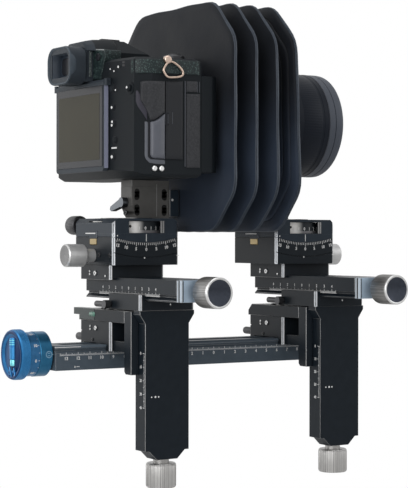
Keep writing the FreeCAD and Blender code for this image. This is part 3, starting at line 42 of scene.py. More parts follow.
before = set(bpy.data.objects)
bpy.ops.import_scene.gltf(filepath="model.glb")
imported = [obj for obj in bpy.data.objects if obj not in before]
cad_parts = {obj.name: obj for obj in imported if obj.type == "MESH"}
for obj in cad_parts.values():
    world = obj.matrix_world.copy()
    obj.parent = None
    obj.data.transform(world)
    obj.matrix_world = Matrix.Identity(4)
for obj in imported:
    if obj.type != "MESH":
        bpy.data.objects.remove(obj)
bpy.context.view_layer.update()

MM = 0.001
X, Y, Z = Vector((1, 0, 0)), Vector((0, 1, 0)), Vector((0, 0, 1))
AXES = {"x": X, "y": Y, "z": Z}
AXIS_HEIGHT = 191.5

# Where the column and the stage of each standard stand along Y, and which way it turns its outer face
STANDARDS = {"rear": -74.0, "front": 83.7}
STAGES = {"rear": -70.0, "front": 77.7}
OUTWARD = {"rear": -1, "front": 1}


def add_object(name, data):
    """New object in the scene."""
    made = bpy.data.objects.new(name, data)
    bpy.context.scene.collection.objects.link(made)
    return made


# Camera at the photograph's viewing point

def add_camera():
    azimuth, elevation, roll = (math.radians(a) for a in (58.057, 0.208, -0.080))
    level = Vector((math.sin(azimuth), -math.cos(azimuth), 0))
    back = level * math.cos(elevation) + Z * math.sin(elevation)
    right = Vector((math.cos(azimuth), math.sin(azimuth), 0))
    up = back.cross(right)
    turned_right = math.cos(roll) * right - math.sin(roll) * up
    turned_up = math.sin(roll) * right + math.cos(roll) * up
    data = bpy.data.cameras.new("photo_camera")
    data.sensor_fit = "VERTICAL"
    data.sensor_height = 36
    data.lens = 121.03
    data.clip_end = 50
    camera = add_object("photo_camera", data)
    place = Matrix((turned_right, turned_up, back)).transposed().to_4x4()
    place.translation = Vector((1109.07, -690.75, 98.90)) * MM
    camera.matrix_world = place
    bpy.context.scene.camera = camera


# Shader values and the nodes that finishes share

class Socket:
    """An output socket that takes part in Python sums: each operator adds its Math node."""

    def __init__(self, nodes, socket):
        self.nodes = nodes
        self.socket = socket

    def math(self, operation, *values):
        inputs = dict(enumerate((self,) + values))
        return self.nodes.node("ShaderNodeMath", {"operation": operation}, inputs)

    def __add__(self, other):
        return self.math("ADD", other)

    def __radd__(self, other):
        return self.math("ADD", other)

    def __sub__(self, other):
        return self.math("SUBTRACT", other)

    def __rsub__(self, other):
        return self.math("MULTIPLY", -1.0).math("ADD", other)

    def __mul__(self, other):
        return self.math("MULTIPLY", other)

    def __rmul__(self, other):
        return self.math("MULTIPLY", other)

    def __pow__(self, other):
        return self.math("POWER", other)

    def __abs__(self):
        return self.math("ABSOLUTE")

    def step(self, low, high):
        """0 below low, 1 above high and smooth between them."""
        ends = {"Value": self, "From Min": low, "From Max": high}
        return self.nodes.node("ShaderNodeMapRange", {"interpolation_type": "SMOOTHSTEP"}, ends)


class Nodes:
    """A node tree under way, and the one method that adds a node of any kind to it."""

    def __init__(self, tree):
        self.tree = tree

    def node(self, kind, settings, inputs, output=0):
        made = self.tree.nodes.new(kind)
        for name, value in settings.items():
            setattr(made, name, value)
        for name, value in inputs.items():
            self.feed(made.inputs[name], value)
        return Socket(self, made.outputs[output])

    def feed(self, socket, value):
        if isinstance(value, Socket):
            self.tree.links.new(value.socket, socket)
        else:
            socket.default_value = value


class Finish(Nodes):
    """A material under way: its node tree, its shader and the few nodes that finishes share."""

    def __init__(self, name, **constants):
        self.material = bpy.data.materials.new(name)
        self.material.use_nodes = True
        super().__init__(self.material.node_tree)
        self.shader = self.tree.nodes["Principled BSDF"]
        for socket, value in constants.items():
            self.set(socket.replace("_", " "), value)

    def set(self, name, value):
        self.feed(self.shader.inputs[name], value)

    def place(self):
        """Object coordinates in metres: the row frame at rest, and they move with the piece."""
        return self.node("ShaderNodeTexCoord", {}, {}, "Object")

    def vector(self, operation, first, second):
        return self.node("ShaderNodeVectorMath", {"operation": operation}, {0: first, 1: second})

    def part(self, vector, axis):
        return self.node("ShaderNodeSeparateXYZ", {}, {0: vector}, axis.upper())

    def along(self, axis):
        return self.part(self.place(), axis)

    def facing(self, axis):
        """1 where the surface faces along the axis, -1 where it faces the other way."""
        return self.part(self.node("ShaderNodeTexCoord", {}, {}, "Normal"), axis)

    def upright_chamfer(self):
        """1 on the upright faces that stand at 45 degrees between X and Y."""
        return (abs(self.facing("x")) * abs(self.facing("y"))).step(0.38, 0.44)

    def noise(self, scale, detail=3.0, stretch=(1, 1, 1)):
        where = self.vector("MULTIPLY", self.place(), stretch)
        return self.node("ShaderNodeTexNoise", {}, {"Vector": where, "Scale": scale, "Detail": detail})

    def cells(self, scale):
        return self.node("ShaderNodeTexVoronoi", {}, {"Vector": self.place(), "Scale": scale}, "Distance")

    def mix(self, amount, low, high):
        """Colour between low, at amount 0, and high."""
        return self.node("ShaderNodeMix", {"data_type": "RGBA"}, {"Factor": amount, 6: low, 7: high}, 2)

    def bump(self, height, depth, strength=1.0):
        relief = {"Height": height, "Distance": depth, "Strength": strength}
        self.set("Normal", self.node("ShaderNodeBump", {}, relief))

    def turn_about(self, centre, axis):
        """Angle in radians about an axis through centre, given in millimetres."""
        shifted = self.vector("SUBTRACT", self.place(), tuple(value * MM for value in centre))
        first, second = (self.part(shifted, other) for other in {"x": "yz", "y": "zx", "z": "xy"}[axis])
        return first.math("ARCTAN2", second)


def grey(value):
    return (value, value, value, 1.0)


def tint(r, g, b):
    return (r, g, b, 1.0)


# Metal finishes

def black_anodised(name, low, high, bright_corners=False):
    """Satin black. Upright chamfers are machined after anodising, so they are bare metal."""
    f = Finish(name, Specular_IOR_Level=0.10)
    mottle = f.noise(160, 4.0)
    grain = f.noise(2600, 2.0)
    black = f.mix(mottle, low, high)
    if bright_corners:
        bare = f.upright_chamfer()
        streaks = f.noise(900, 2.0, (1, 1, 0.05))
        black = f.mix(bare, black, f.mix(streaks, tint(0.19, 0.20, 0.21), tint(0.35, 0.36, 0.38)))
        f.set("Metallic", bare * 0.85)
        f.set("Roughness", mottle * 0.10 + 0.34 - bare * 0.06)
    else:
        f.set("Roughness", mottle * 0.10 + 0.34)
    f.set("Base Color", black)
    f.bump(grain, 0.000012, 0.6)
    return f.material


def bright_edge():
    """Thin machined edge of the black pieces."""
    f = Finish("bright_machined_edge", Metallic=0.85)
    streaks = f.noise(1400, 2.0)
    f.set("Base Color", f.mix(streaks, grey(0.13), grey(0.30)))
    f.set("Roughness", streaks * 0.15 + 0.28)
    return f.material


def silver_knob(name, centre, axis, level):
    """Satin nickel whose side is turned. The light and dark streaks that run along the knob are a painted
    reflection, with a warm cast in them; level paints each knob's colour lighter or darker for the light
    that falls on it.
    """
    f = Finish(name, Metallic=1.0, Specular_IOR_Level=0.2)
    turning = {"W": f.turn_about(centre, axis), "Scale": 26.0, "Detail": 6.0}
    streaks = f.node("ShaderNodeTexNoise", {"noise_dimensions": "1D"}, turning)
    soft = f.noise(220, 3.0)
    # Painted reflection: the dark and light colours of the streaks, scaled by level for how brightly the
    # knob is lit.
    painted_streak_dark = tint(0.100 * level, 0.098 * level, 0.096 * level)
    painted_streak_light = tint(0.380 * level, 0.373 * level, 0.364 * level)
    side = f.mix(streaks.step(0.38, 0.62), painted_streak_dark, painted_streak_light)
    f.set("Base Color", f.mix(soft * 0.2, side, grey(0.30 * level)))
    f.set("Roughness", streaks * 0.20 + 0.30)
    f.bump(streaks, 0.00006, 0.7)
    return f.material


def satin_knob():
    """Smooth turned nickel of the tilt knobs, with painted light and shade: the side is painted light and
    the ends, which face along Y, are painted darker.
    """
    f = Finish("satin_nickel", Metallic=0.5, Specular_IOR_Level=0.2)
    soft = f.noise(220, 3.0)
    # Painted light on the side and painted shade on the ends, both of the same nickel.
    side = f.mix(soft, grey(0.44), grey(0.56))
    end = f.mix(soft, grey(0.12), grey(0.17))
    f.set("Base Color", f.mix(abs(f.facing("y")).step(0.80, 0.95), side, end))
    f.set("Roughness", soft * 0.15 + 0.32)
    return f.material


def silver_anodised():
    f = Finish("silver_anodised", Metallic=0.9)
    brushed = f.noise(1300, 3.0, (0.04, 1, 1))
    f.set("Base Color", f.mix(brushed, grey(0.42), grey(0.66)))
    f.set("Roughness", brushed * 0.2 + 0.28)
    f.bump(brushed, 0.00001, 0.6)
    return f.material


def end_plate_metal():
    """Light blue-grey anodising on the plates at the ends of the shift bars."""
    f = Finish("grey_anodised", Metallic=0.55)
    mottle = f.noise(240, 4.0)
    light = f.mix(mottle, tint(0.32, 0.41, 0.51), tint(0.44, 0.55, 0.67))
    f.set("Base Color", f.mix(f.upright_chamfer(), light, tint(0.27, 0.31, 0.35)))
    f.set("Roughness", mottle * 0.12 + 0.34)
    f.bump(f.noise(2600, 2.0), 0.00001, 0.5)
    return f.material


def blue_anodised(name, low, high, rough, dish=None):
    """Dyed anodising. A dish colour goes on faces turned back along the rail as painted shade, and a
    painted highlight makes it paler towards one side, -X.
    """
    f = Finish(name, Metallic=0.72, Specular_IOR_Level=0.12)
    mottle = f.noise(300, 4.0)
    colour = f.mix(mottle, low, high)
    if dish:
        # Painted highlight towards -X, over the dish's painted shade.
        painted_highlight = (f.along("x") * -1.0).step(-0.004, 0.016) * 0.45 + mottle * 0.06
        colour = f.mix((f.facing("y") * -1.0).step(0.80, 0.95), colour, f.mix(painted_highlight, dish, low))
    f.set("Base Color", colour)
    f.set("Roughness", mottle * 0.10 + rough)
    f.bump(f.noise(2400, 2.0), 0.00001, 0.5)
    return f.material


def plain_metal(name, low, high, rough):
    f = Finish(name, Metallic=1.0)
    turned = f.noise(700, 4.0)
    f.set("Base Color", f.mix(turned, low, high))
    f.set("Roughness", turned * 0.16 + rough)
    f.bump(f.noise(2200, 2.0), 0.00001, 0.5)
    return f.material


def turntable_metal(name, dark):
    """Dial metal: upright faces are cream where they are turned back along the rail, towards the light, and
    the rest takes the darker colour as painted shade.
    """
    f = Finish(name, Metallic=0.25, Specular_IOR_Level=0.2)
    lit = (f.facing("y") * -1.0).step(0.02, 0.30)
    upright = 1 - abs(f.facing("z")).step(0.5, 0.8)
    grain = f.noise(1800, 3.0)
    cream = f.mix(grain, tint(0.60, 0.59, 0.575), tint(0.78, 0.77, 0.75))
    # Cream where lit, painted shade in the darker colour everywhere else.
    f.set("Base Color", f.mix(lit * upright, dark, cream))
    f.set("Roughness", grain * 0.1 + 0.36)
    return f.material


def dish_polish():
    """Dark blue-grey polish in the dished ends of the side knobs."""
    f = Finish("knob_dish", Metallic=0.9)
    rings = f.noise(500, 3.0)
    f.set("Base Color", f.mix(rings, tint(0.028, 0.033, 0.045), tint(0.055, 0.062, 0.078)))
    f.set("Roughness", rings * 0.12 + 0.16)
    return f.material


def black_steel():
    """Blackened steel of screws, levers and small knobs."""
    f = Finish("black_steel", Metallic=0.6)
    mottle = f.noise(500, 4.0)
    f.set("Base Color", f.mix(mottle, tint(0.020, 0.020, 0.022), tint(0.045, 0.046, 0.050)))
    f.set("Roughness", mottle * 0.15 + 0.30)
    f.bump(f.noise(2600, 2.0), 0.00001, 0.5)
    return f.material


# Camera, lens, bellows and level finishes

def camera_shell():
    """Painted shell: dark and speckled, and paler on the finder's rear end."""
    f = Finish("camera_shell", Specular_IOR_Level=0.11)
    speckle = f.noise(1900, 4.0)
    shell = f.mix(speckle, tint(0.0040, 0.0060, 0.0076), tint(0.0105, 0.0128, 0.0155))
    finder = (f.along("y") * -1.0).step(0.1078, 0.1086)
    # Paler colour on everything behind the back's plane, the finder's rear end.
    worn = f.mix(speckle, tint(0.0170, 0.0215, 0.0270), tint(0.0360, 0.0440, 0.0540))
    f.set("Base Color", f.mix(finder, shell, worn))
    f.set("Roughness", speckle * 0.22 + 0.40)
    f.bump(speckle, 0.00006, 0.8)
    return f.material


def camera_leather():
    """Moulded leather grain: worn rounded cells between fine creases."""
    f = Finish("camera_leather", Specular_IOR_Level=0.2)
    pebbles = f.cells(900)
    creases = f.noise(700, 5.0)
    f.set("Base Color", f.mix(creases, tint(0.009, 0.010, 0.012), tint(0.046, 0.047, 0.052)))
    f.set("Roughness", pebbles * 0.25 + 0.38)
    f.bump(pebbles * -0.7 + creases * 0.6, 0.00022, 0.9)
    return f.material


def grip_panel():
    """Smooth rubbery leather on the lower grip, with a soft gloss of its own. Its pale bluish colour is
    partly a painted highlight.
    """
    f = Finish("grip_panel", Specular_IOR_Level=0.45)
    pebbles = f.cells(1100)
    tone = f.noise(90, 4.0)
    # Pale bluish colour: partly the leather's own, partly a painted highlight.
    f.set("Base Color", f.mix(tone, tint(0.054, 0.059, 0.074), tint(0.090, 0.095, 0.115)))
    f.set("Roughness", tone * 0.14 + 0.34)
    f.bump(pebbles * -1.0, 0.00010, 0.6)
    return f.material


def speckled_leather(name, low, high):
    """Leather whose grain tops catch the light as fine specks."""
    f = Finish(name, Specular_IOR_Level=0.3)
    specks = f.noise(1150, 3.0)
    f.set("Base Color", f.mix(specks.step(0.52, 0.68), low, high))
    f.set("Roughness", specks * 0.2 + 0.40)
    f.bump(specks, 0.00012, 0.7)
    return f.material


def soft_rubber():
    """Rubber of the eyecup: bloomed and bluish outside, and painted dark in its mouth as painted shade."""
    f = Finish("eyecup_rubber", Specular_IOR_Level=0.35)
    bloom = f.noise(260, 4.0)
    # Painted shade: the inside of the eyecup's mouth is darkened.
    inside = 1 - abs(f.along("x")).step(0.0136, 0.0144)
    inside = inside * (1 - abs(f.along("z") - 0.2286).step(0.0092, 0.0100))
    outer = f.mix(bloom, tint(0.026, 0.036, 0.047), tint(0.050, 0.066, 0.084))
    f.set("Base Color", f.mix(inside, outer, tint(0.014, 0.022, 0.034)))
    f.set("Roughness", bloom * 0.18 + 0.52)
    f.bump(f.noise(3000, 2.0), 0.00003, 0.6)
    return f.material


def screen_glass():
    """Black glass over a dark panel that shows brown-olive in the light."""
    f = Finish("screen_glass", Specular_IOR_Level=0.05)
    haze = f.noise(22, 3.0)
    f.set("Base Color", f.mix(haze, tint(0.022, 0.020, 0.012), tint(0.038, 0.035, 0.022)))
    f.set("Roughness", haze * 0.06 + 0.30)
    return f.material


def dark_glass():
    f = Finish("dark_glass", Specular_IOR_Level=0.09)
    haze = f.noise(60, 2.0)
    f.set("Base Color", f.mix(haze, tint(0.010, 0.011, 0.014), tint(0.020, 0.021, 0.025)))
    f.set("Roughness", haze * 0.05 + 0.22)
    return f.material


def lens_black():
    f = Finish("lens_black", Specular_IOR_Level=0.09)
    speckle = f.noise(1600, 4.0)
    f.set("Base Color", f.mix(speckle, tint(0.004, 0.006, 0.011), tint(0.010, 0.013, 0.020)))
    f.set("Roughness", speckle * 0.15 + 0.36)
    f.bump(speckle, 0.00003, 0.7)
    return f.material


def lens_coating():
    """Coated front glass: violet and green casts over a dark depth."""
    f = Finish("lens_coating", Specular_IOR_Level=0.7, Coat_Roughness=0.02)
    across, up = f.along("x"), f.along("z") - AXIS_HEIGHT * MM
    rim = ((across * across + up ** 2.0) ** 0.5).step(0.004, 0.030)
    f.set("Base Color", f.mix(rim, tint(0.020, 0.012, 0.045), tint(0.004, 0.016, 0.014)))
    f.set("Roughness", rim * 0.02 + 0.03)
    f.set("Coat Weight", 0.6)
    return f.material


def level_block():
    """Smoked block of the level: green only shows in its depth."""
    f = Finish("level_block", Specular_IOR_Level=0.18)
    tone = f.noise(90, 3.0)
    f.set("Base Color", f.mix(tone, tint(0.006, 0.014, 0.014), tint(0.014, 0.026, 0.025)))
    f.set("Roughness", tone * 0.10 + 0.26)
    return f.material


def level_fluid():
    f = Finish("level_fluid", Specular_IOR_Level=0.5)
    tone = f.noise(120, 2.0)
    f.set("Base Color", f.mix(tone, tint(0.060, 0.165, 0.125), tint(0.115, 0.265, 0.200)))
    f.set("Roughness", tone * 0.08 + 0.12)
    return f.material


def bellows_cloth():
    """Coated cloth: fine cross weave and soft mottling, with painted light by height: a blue cast that is
    paler below, and darker above.
    """
    f = Finish("bellows_cloth", Specular_IOR_Level=0.08, Sheen_Weight=0.05, Sheen_Roughness=0.5)
    weave = f.noise(2600, 2.0)
    folds = f.noise(46, 4.0)
    # Painted light and shade by height: the lower cloth is painted paler and bluer, the upper darker.
    below = 1 - f.along("z").step(0.15, 0.22)
    upper = f.mix(folds, tint(0.0036, 0.0046, 0.0066), tint(0.0100, 0.0118, 0.0158))
    lower = f.mix(folds, tint(0.0145, 0.0210, 0.0340), tint(0.0290, 0.0385, 0.0580))
    f.set("Base Color", f.mix(below, upper, lower))
    f.set("Roughness", folds * 0.20 + 0.44)
    f.bump(folds * 1.0 + weave * 0.05, 0.0007, 0.55)
    return f.material


def bellows_edge():
    """Paler, slightly shiny edge of each pleat."""
    f = Finish("bellows_pleat_edge", Specular_IOR_Level=0.25)
    wear = f.noise(330, 4.0)
    f.set("Base Color", f.mix(wear, tint(0.018, 0.025, 0.035), tint(0.060, 0.072, 0.092)))
    f.set("Roughness", wear * 0.2 + 0.36)
    return f.material


def print_ink(name, low, high):
    """Flat coating of marks, seams and thin trim, slightly worn."""
    f = Finish(name, Specular_IOR_Level=0.3)
    wear = f.noise(1500, 3.0)
    f.set("Base Color", f.mix(wear, low, high))
    f.set("Roughness", wear * 0.2 + 0.45)
    return f.material


# Metals
BLACK = black_anodised("black_anodised", tint(0.0050, 0.0080, 0.0115), tint(0.0095, 0.0135, 0.0185))
BLACK_BLOCK = black_anodised("black_anodised_block", tint(0.0060, 0.0085, 0.0115),
                             tint(0.0110, 0.0145, 0.0185), True)
HOUSING_BLACK = black_anodised("black_anodised_housing", tint(0.0150, 0.0215, 0.0300),
                               tint(0.0255, 0.0340, 0.0450), True)
RAIL_BLACK = black_anodised("black_anodised_rail", tint(0.052, 0.068, 0.085), tint(0.080, 0.101, 0.124))
# The riser's black is painted much lighter, as painted light against the shade under the camera and
# bellows.
RISER_BLACK_PAINTED_LIGHT = black_anodised("black_anodised_riser_painted_light", tint(0.098, 0.096, 0.092), tint(0.132, 0.129, 0.124))
JAW_BLACK = black_anodised("black_anodised_jaw", tint(0.014, 0.021, 0.030), tint(0.026, 0.036, 0.048))
EDGE_METAL = bright_edge()
PLATE_METAL = end_plate_metal()
SILVER = silver_anodised()
SATIN = satin_knob()
# Its last colour is the dish colour: painted shade on the knob's end.
KNOB_BLUE = blue_anodised("blue_anodised_knob", tint(0.014, 0.118, 0.290), tint(0.050, 0.215, 0.450),
                          0.34, tint(0.002, 0.021, 0.085))
BLUE = blue_anodised("blue_anodised", tint(0.012, 0.080, 0.165), tint(0.034, 0.150, 0.270), 0.26)
LIGHT_BLUE = blue_anodised("light_blue_anodised", tint(0.025, 0.17, 0.40), tint(0.07, 0.30, 0.60), 0.34)
DARK_BLUE = blue_anodised("dark_blue_anodised", tint(0.022, 0.092, 0.205), tint(0.048, 0.165, 0.330),
                          0.26)
CYAN_METAL = blue_anodised("cyan_anodised", tint(0.10, 0.48, 0.56), tint(0.28, 0.74, 0.80), 0.24)
# The last colour is the painted shade where the dial faces away from the light.
TURNTABLE = turntable_metal("turntable_metal", tint(0.010, 0.013, 0.016))
DIAL_BAND = turntable_metal("dial_band_metal", tint(0.130, 0.128, 0.135))
STEEL = plain_metal("turned_steel", grey(0.34), grey(0.52), 0.26)
LEVER_METAL = plain_metal("grey_steel", tint(0.085, 0.094, 0.105), tint(0.160, 0.172, 0.188), 0.34)
BLACK_STEEL = black_steel()
BRASS = plain_metal("machined_brass", tint(0.20, 0.155, 0.078), tint(0.30, 0.235, 0.130), 0.34)
COPPER = plain_metal("strap_lug_metal", tint(0.36, 0.255, 0.20), tint(0.62, 0.50, 0.42), 0.24)
STUD = plain_metal("stud_metal", grey(0.55), grey(0.80), 0.30)
KNOB_DISH = dish_polish()

# Camera, lens, level and bellows
SHELL = camera_shell()
LEATHER = camera_leather()
GRIP_PANEL = grip_panel()
SPECKLED = speckled_leather("speckled_leather", tint(0.003, 0.009, 0.010), tint(0.060, 0.092, 0.088))
PALE_SPECKLE = speckled_leather("pale_speckled_leather", tint(0.050, 0.062, 0.062),
                                tint(0.240, 0.270, 0.265))
RUBBER = soft_rubber()
SCREEN = screen_glass()
DARK_GLASS = dark_glass()
LENS_BLACK = lens_black()
COATING = lens_coating()
LEVEL_BLOCK = level_block()
FLUID = level_fluid()
CLOTH = bellows_cloth()
CLOTH_EDGE = bellows_edge()

# Marks, seams and thin trim
WHITE_INK = print_ink("white_print", grey(0.52), grey(0.74))
WORN_INK = print_ink("worn_print", tint(0.10, 0.11, 0.11), tint(0.42, 0.44, 0.44))
PALE_BLUE_INK = print_ink("pale_blue_print", tint(0.14, 0.26, 0.36), tint(0.22, 0.36, 0.48))
DARK_INK = print_ink("dark_print", grey(0.006), grey(0.014))
PLATE_LIP = print_ink("end_plate_lip", tint(0.30, 0.34, 0.38), tint(0.42, 0.46, 0.50))
SEAM_LIGHT = print_ink("machined_line", grey(0.22), grey(0.34))
SEAM = print_ink("camera_seam", tint(0.040, 0.043, 0.052), tint(0.075, 0.080, 0.094))
TRIM_GREY = print_ink("camera_trim", tint(0.060, 0.066, 0.080), tint(0.095, 0.102, 0.120))
HOLLOW = print_ink("thumb_hollow", tint(0.014, 0.013, 0.022), tint(0.026, 0.025, 0.038))
DOOR = print_ink("card_door", tint(0.002, 0.003, 0.005), tint(0.007, 0.008, 0.011))
SCREEN_SIDE = print_ink("screen_side_trim", tint(0.17, 0.18, 0.25), tint(0.23, 0.245, 0.33))
LENS_RING = print_ink("lens_front_ring", tint(0.032, 0.039, 0.054), tint(0.058, 0.067, 0.086))


# Shapes

def circle(sides):
    return [(math.cos(math.tau * k / sides), math.sin(math.tau * k / sides)) for k in range(sides)]


def sideways(axis):
    """The two directions across an axis, in the order that keeps faces outward."""
    return {"x": (Y, Z), "y": (Z, X), "z": (X, Y)}[axis]


def ring_points(centre, axis, along, radius, sides):
    """Circle across an axis, at a place along it from the centre."""
    across, up = sideways(axis)
    middle = Vector(centre) + AXES[axis] * along
    return [middle + (across * a + up * b) * radius for a, b in circle(sides)]


def rounded_outline(width, height, radius, steps=5):
    """Rectangle about the origin with round corners, as points counter-clockwise."""
    points = []
    for quarter, (sx, sy) in enumerate(((1, 1), (-1, 1), (-1, -1), (1, -1))):
        for k in range(steps + 1):
            angle = math.pi / 2 * (quarter + k / steps)
            points.append((sx * (width / 2 - radius) + radius * math.cos(angle),
                           sy * (height / 2 - radius) + radius * math.sin(angle)))
    return points


class Shape:
    """Points and faces of one piece, gathered from lofted bits. Each face notes its finish's slot."""

    def __init__(self):
        self.points = []
        self.faces = []
        self.slots = []

    def add(self, points, faces, slot=0):
        start = len(self.points)
        self.points += [Vector(p) for p in points]
        self.faces += [[start + k for k in face] for face in faces]
        self.slots += [slot] * len(faces)
        return self

    def loft(self, rings, slot=0, capped=True):
        """Skin over rings of equal count. Rings run counter-clockwise seen from the last one."""
        count = len(rings[0])
        faces = []
        for r in range(len(rings) - 1):
            for k in range(count):
                a, b = r * count + k, r * count + (k + 1) % count
                faces.append([a, b, b + count, a + count])
        if capped:
            faces.append([count - 1 - k for k in range(count)])
            faces.append([(len(rings) - 1) * count + k for k in range(count)])
        return self.add([p for ring in rings for p in ring], faces, slot)

    def box(self, low, high, slot=0):
        (x0, y0, z0), (x1, y1, z1) = low, high
        rings = [[(x0, y0, z), (x1, y0, z), (x1, y1, z), (x0, y1, z)] for z in (z0, z1)]
        return self.loft(rings, slot)

    def turned(self, profile, centre, axis, sides=48):
        """Profile of (along, radius) pairs swept about an axis through centre, with along rising."""
        return self.loft([ring_points(centre, axis, along, radius, sides) for along, radius in profile])

    def hoop(self, profile, centre, axis, sides=96, slot=0):
        """Closed profile of (along, radius) pairs swept about an axis: up outside and back down inside."""
        rings = [ring_points(centre, axis, along, radius, sides) for along, radius in profile]
        return self.loft(rings + rings[:1], slot, capped=False)

    def mesh(self, name, finishes):
        """The mesh in metres, each face with its own of the finishes."""
        mesh = bpy.data.meshes.new(name)
        mesh.from_pydata([p * MM for p in self.points], [], self.faces)
        for finish in finishes:
            mesh.materials.append(finish)
        for face, number in zip(mesh.polygons, self.slots):
            face.material_index = number
        return mesh

    def piece(self, name, body, finishes, slot, bevel=0.0, smooth=0.6):
        """The finished object, riding on its body. Edges sharper than smooth, in radians, stay hard."""
        mesh = self.mesh(name, finishes)
        mesh.update()
        piece = add_object(name, mesh)
        if bevel:
            round_edges(piece, bevel)
        mesh.shade_smooth()
        mesh.set_sharp_from_angle(angle=smooth)
        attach(piece, body)
        return piece


def round_edges(piece, width, material=-1, segments=2):
    """Small round or flat along the hard edges."""
    bevel = piece.modifiers.new("edges", "BEVEL")
    bevel.width = width * MM
    bevel.segments = segments
    bevel.limit_method = "ANGLE"
    bevel.angle_limit = math.radians(32)
    bevel.material = material
    bevel.miter_outer = "MITER_ARC"


# Figures and scales

TICK_WIDTH = 0.40
figure_shapes = {}


def figure(text):
    """Points and faces of a number in the plain built-in letter form, 1 high and centred."""
    if text not in figure_shapes:
        curve = bpy.data.curves.new("figure", "FONT")
        curve.body = text
        curve.resolution_u = 2
        curve.offset = 0.028
        curve.align_x = "CENTER"
        letter = bpy.data.objects.new("figure", curve)
        mesh = bpy.data.meshes.new_from_object(letter)
        height = max(v.co.y for v in mesh.vertices)
        points = [(v.co.x / height, v.co.y / height - 0.5) for v in mesh.vertices]
        figure_shapes[text] = (points, [list(p.vertices) for p in mesh.polygons])
        bpy.data.objects.remove(letter)
        bpy.data.curves.remove(curve)
        bpy.data.meshes.remove(mesh)
    return figure_shapes[text]


class Print:
    """White marks just proud of a face: figures, ticks, bars and dots gathered in one mesh."""

    PROUD = 0.06

    def __init__(self):
        self.shape = Shape()

    def figure(self, text, place, up, out, height):
        points, faces = figure(text)
        up, out = Vector(up), Vector(out)
        right = up.cross(out)
        lifted = Vector(place) + out * self.PROUD
        self.shape.add([lifted + right * (a * height) + up * (b * height) for a, b in points], faces)

    def bar(self, place, along, out, length, width):
        """Thin bar centred on place, with its length along a direction."""
        across = Vector(out).cross(Vector(along)) * (width / 2)
        half = Vector(along) * (length / 2)
        lifted = Vector(place) + Vector(out) * self.PROUD
        corners = [lifted - half - across, lifted + half - across,
                   lifted + half + across, lifted - half + across]
        self.shape.add(corners, [[0, 1, 2, 3]])

    def disc(self, place, out, radius, hole=0.0, sides=20):
        out = Vector(out)
        across = out.orthogonal().normalized()
        up = out.cross(across)
        lifted = Vector(place) + out * self.PROUD
        outer = [lifted + (across * a + up * b) * radius for a, b in circle(sides)]
        if not hole:
            self.shape.add(outer, [list(range(sides))])
            return
        inner = [lifted + (across * a + up * b) * hole for a, b in circle(sides)]
        faces = [[k, (k + 1) % sides, sides + (k + 1) % sides, sides + k] for k in range(sides)]
        self.shape.add(outer + inner, faces)

    def piece(self, name, body, ink=WHITE_INK):
        return self.shape.piece(name, body, [ink], "silver_anodised")


def tick_length(k):
    """Long ticks at each centimetre, middling ones at each half."""
    if k % 10 == 0:
        return 2.6
    return 1.9 if k % 5 == 0 else 1.2


def ruler(marks, first, step, numbers, up, out, height, tick_rise):
    """Figures a centimetre apart, and a tick for each millimetre from just before to just past them."""
    first, step, up, out = Vector(first), Vector(step), Vector(up), Vector(out)
    for k, number in enumerate(numbers):
        marks.figure(str(abs(number)), first + step * k, up, out, height)
    small = step / 10
    for k in range(-5, 10 * (len(numbers) - 1) + 6):
        length = tick_length(k)
        foot = first + small * k + up * tick_rise
        marks.bar(foot + up * (length / 2), up, out, length, TICK_WIDTH)


# Carried-over pieces

def dress(node, finish, edge=0.0):
    """Gives a carried-over node its finish. With an edge, its hard edges become thin machined ones."""
    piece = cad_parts[node]
    mesh = piece.data
    mesh.materials.clear()
    mesh.materials.append(finish)
    if edge:
        mesh.materials.append(EDGE_METAL)
        weld = piece.modifiers.new("weld", "WELD")
        weld.merge_threshold = 0.000002
        flat = piece.modifiers.new("flat_faces", "DECIMATE")
        flat.decimate_type = "DISSOLVE"
        flat.angle_limit = math.radians(0.4)
        round_edges(piece, edge, material=1, segments=1)


def box_of(node):
    """Lowest and highest corners of a carried-over node, in millimetres."""
    return [Vector(corner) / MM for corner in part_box(node)]


def middle_of(node):
    low, high = box_of(node)
    return (low + high) / 2


# Screws, knurls and knobs

def socket_screw(shape, place, axis, out, radius, height):
    """Cap screw with a hexagon socket. Out is 1 or -1 along the axis."""
    sides = 24
    across, up = sideways(axis)
    lip, socket, depth = radius * 0.14, radius * 0.52, height * 0.7
    half = math.pi / 6
    hexagon = [socket * math.cos(half) / math.cos((math.tau * k / sides) % (2 * half) - half)
               for k in range(sides)]
    stations = [(0, [radius] * sides), (height - lip, [radius] * sides), (height, [radius - lip] * sides),
                (height, hexagon), (height - depth, hexagon)]
    rings = []
    for along, radii in stations:
        middle = Vector(place) + AXES[axis] * (along * out)
        rings.append([middle + (across * a + up * b * out) * r
                      for (a, b), r in zip(circle(sides), radii)])
    shape.loft(rings)


# Radius and height of the heads
RAIL_SCREW, ARM_SCREW, BOARD_SCREW = (2.6, 1.4), (2.1, 1.2), (2.0, 1.0)
BLOCK_SCREW, RISER_SCREW, BASE_SCREW = (1.9, 0.9), (1.8, 0.9), (1.7, 0.9)
SIDE_SCREW, GRUB_SCREW, MOUNT_SCREW, GIB_SCREW = (1.5, 0.8), (1.3, 0.7), (1.3, 0.3), (0.9, 0.5)


def screw_set(name, body, axis, out, places, kind, finish=BLACK_STEEL):
    """Screws of one kind as one piece."""
    screws = Shape()
    for place in places:
        socket_screw(screws, place, axis, out, *kind)
    screws.piece(name, body, [finish], "black_steel")


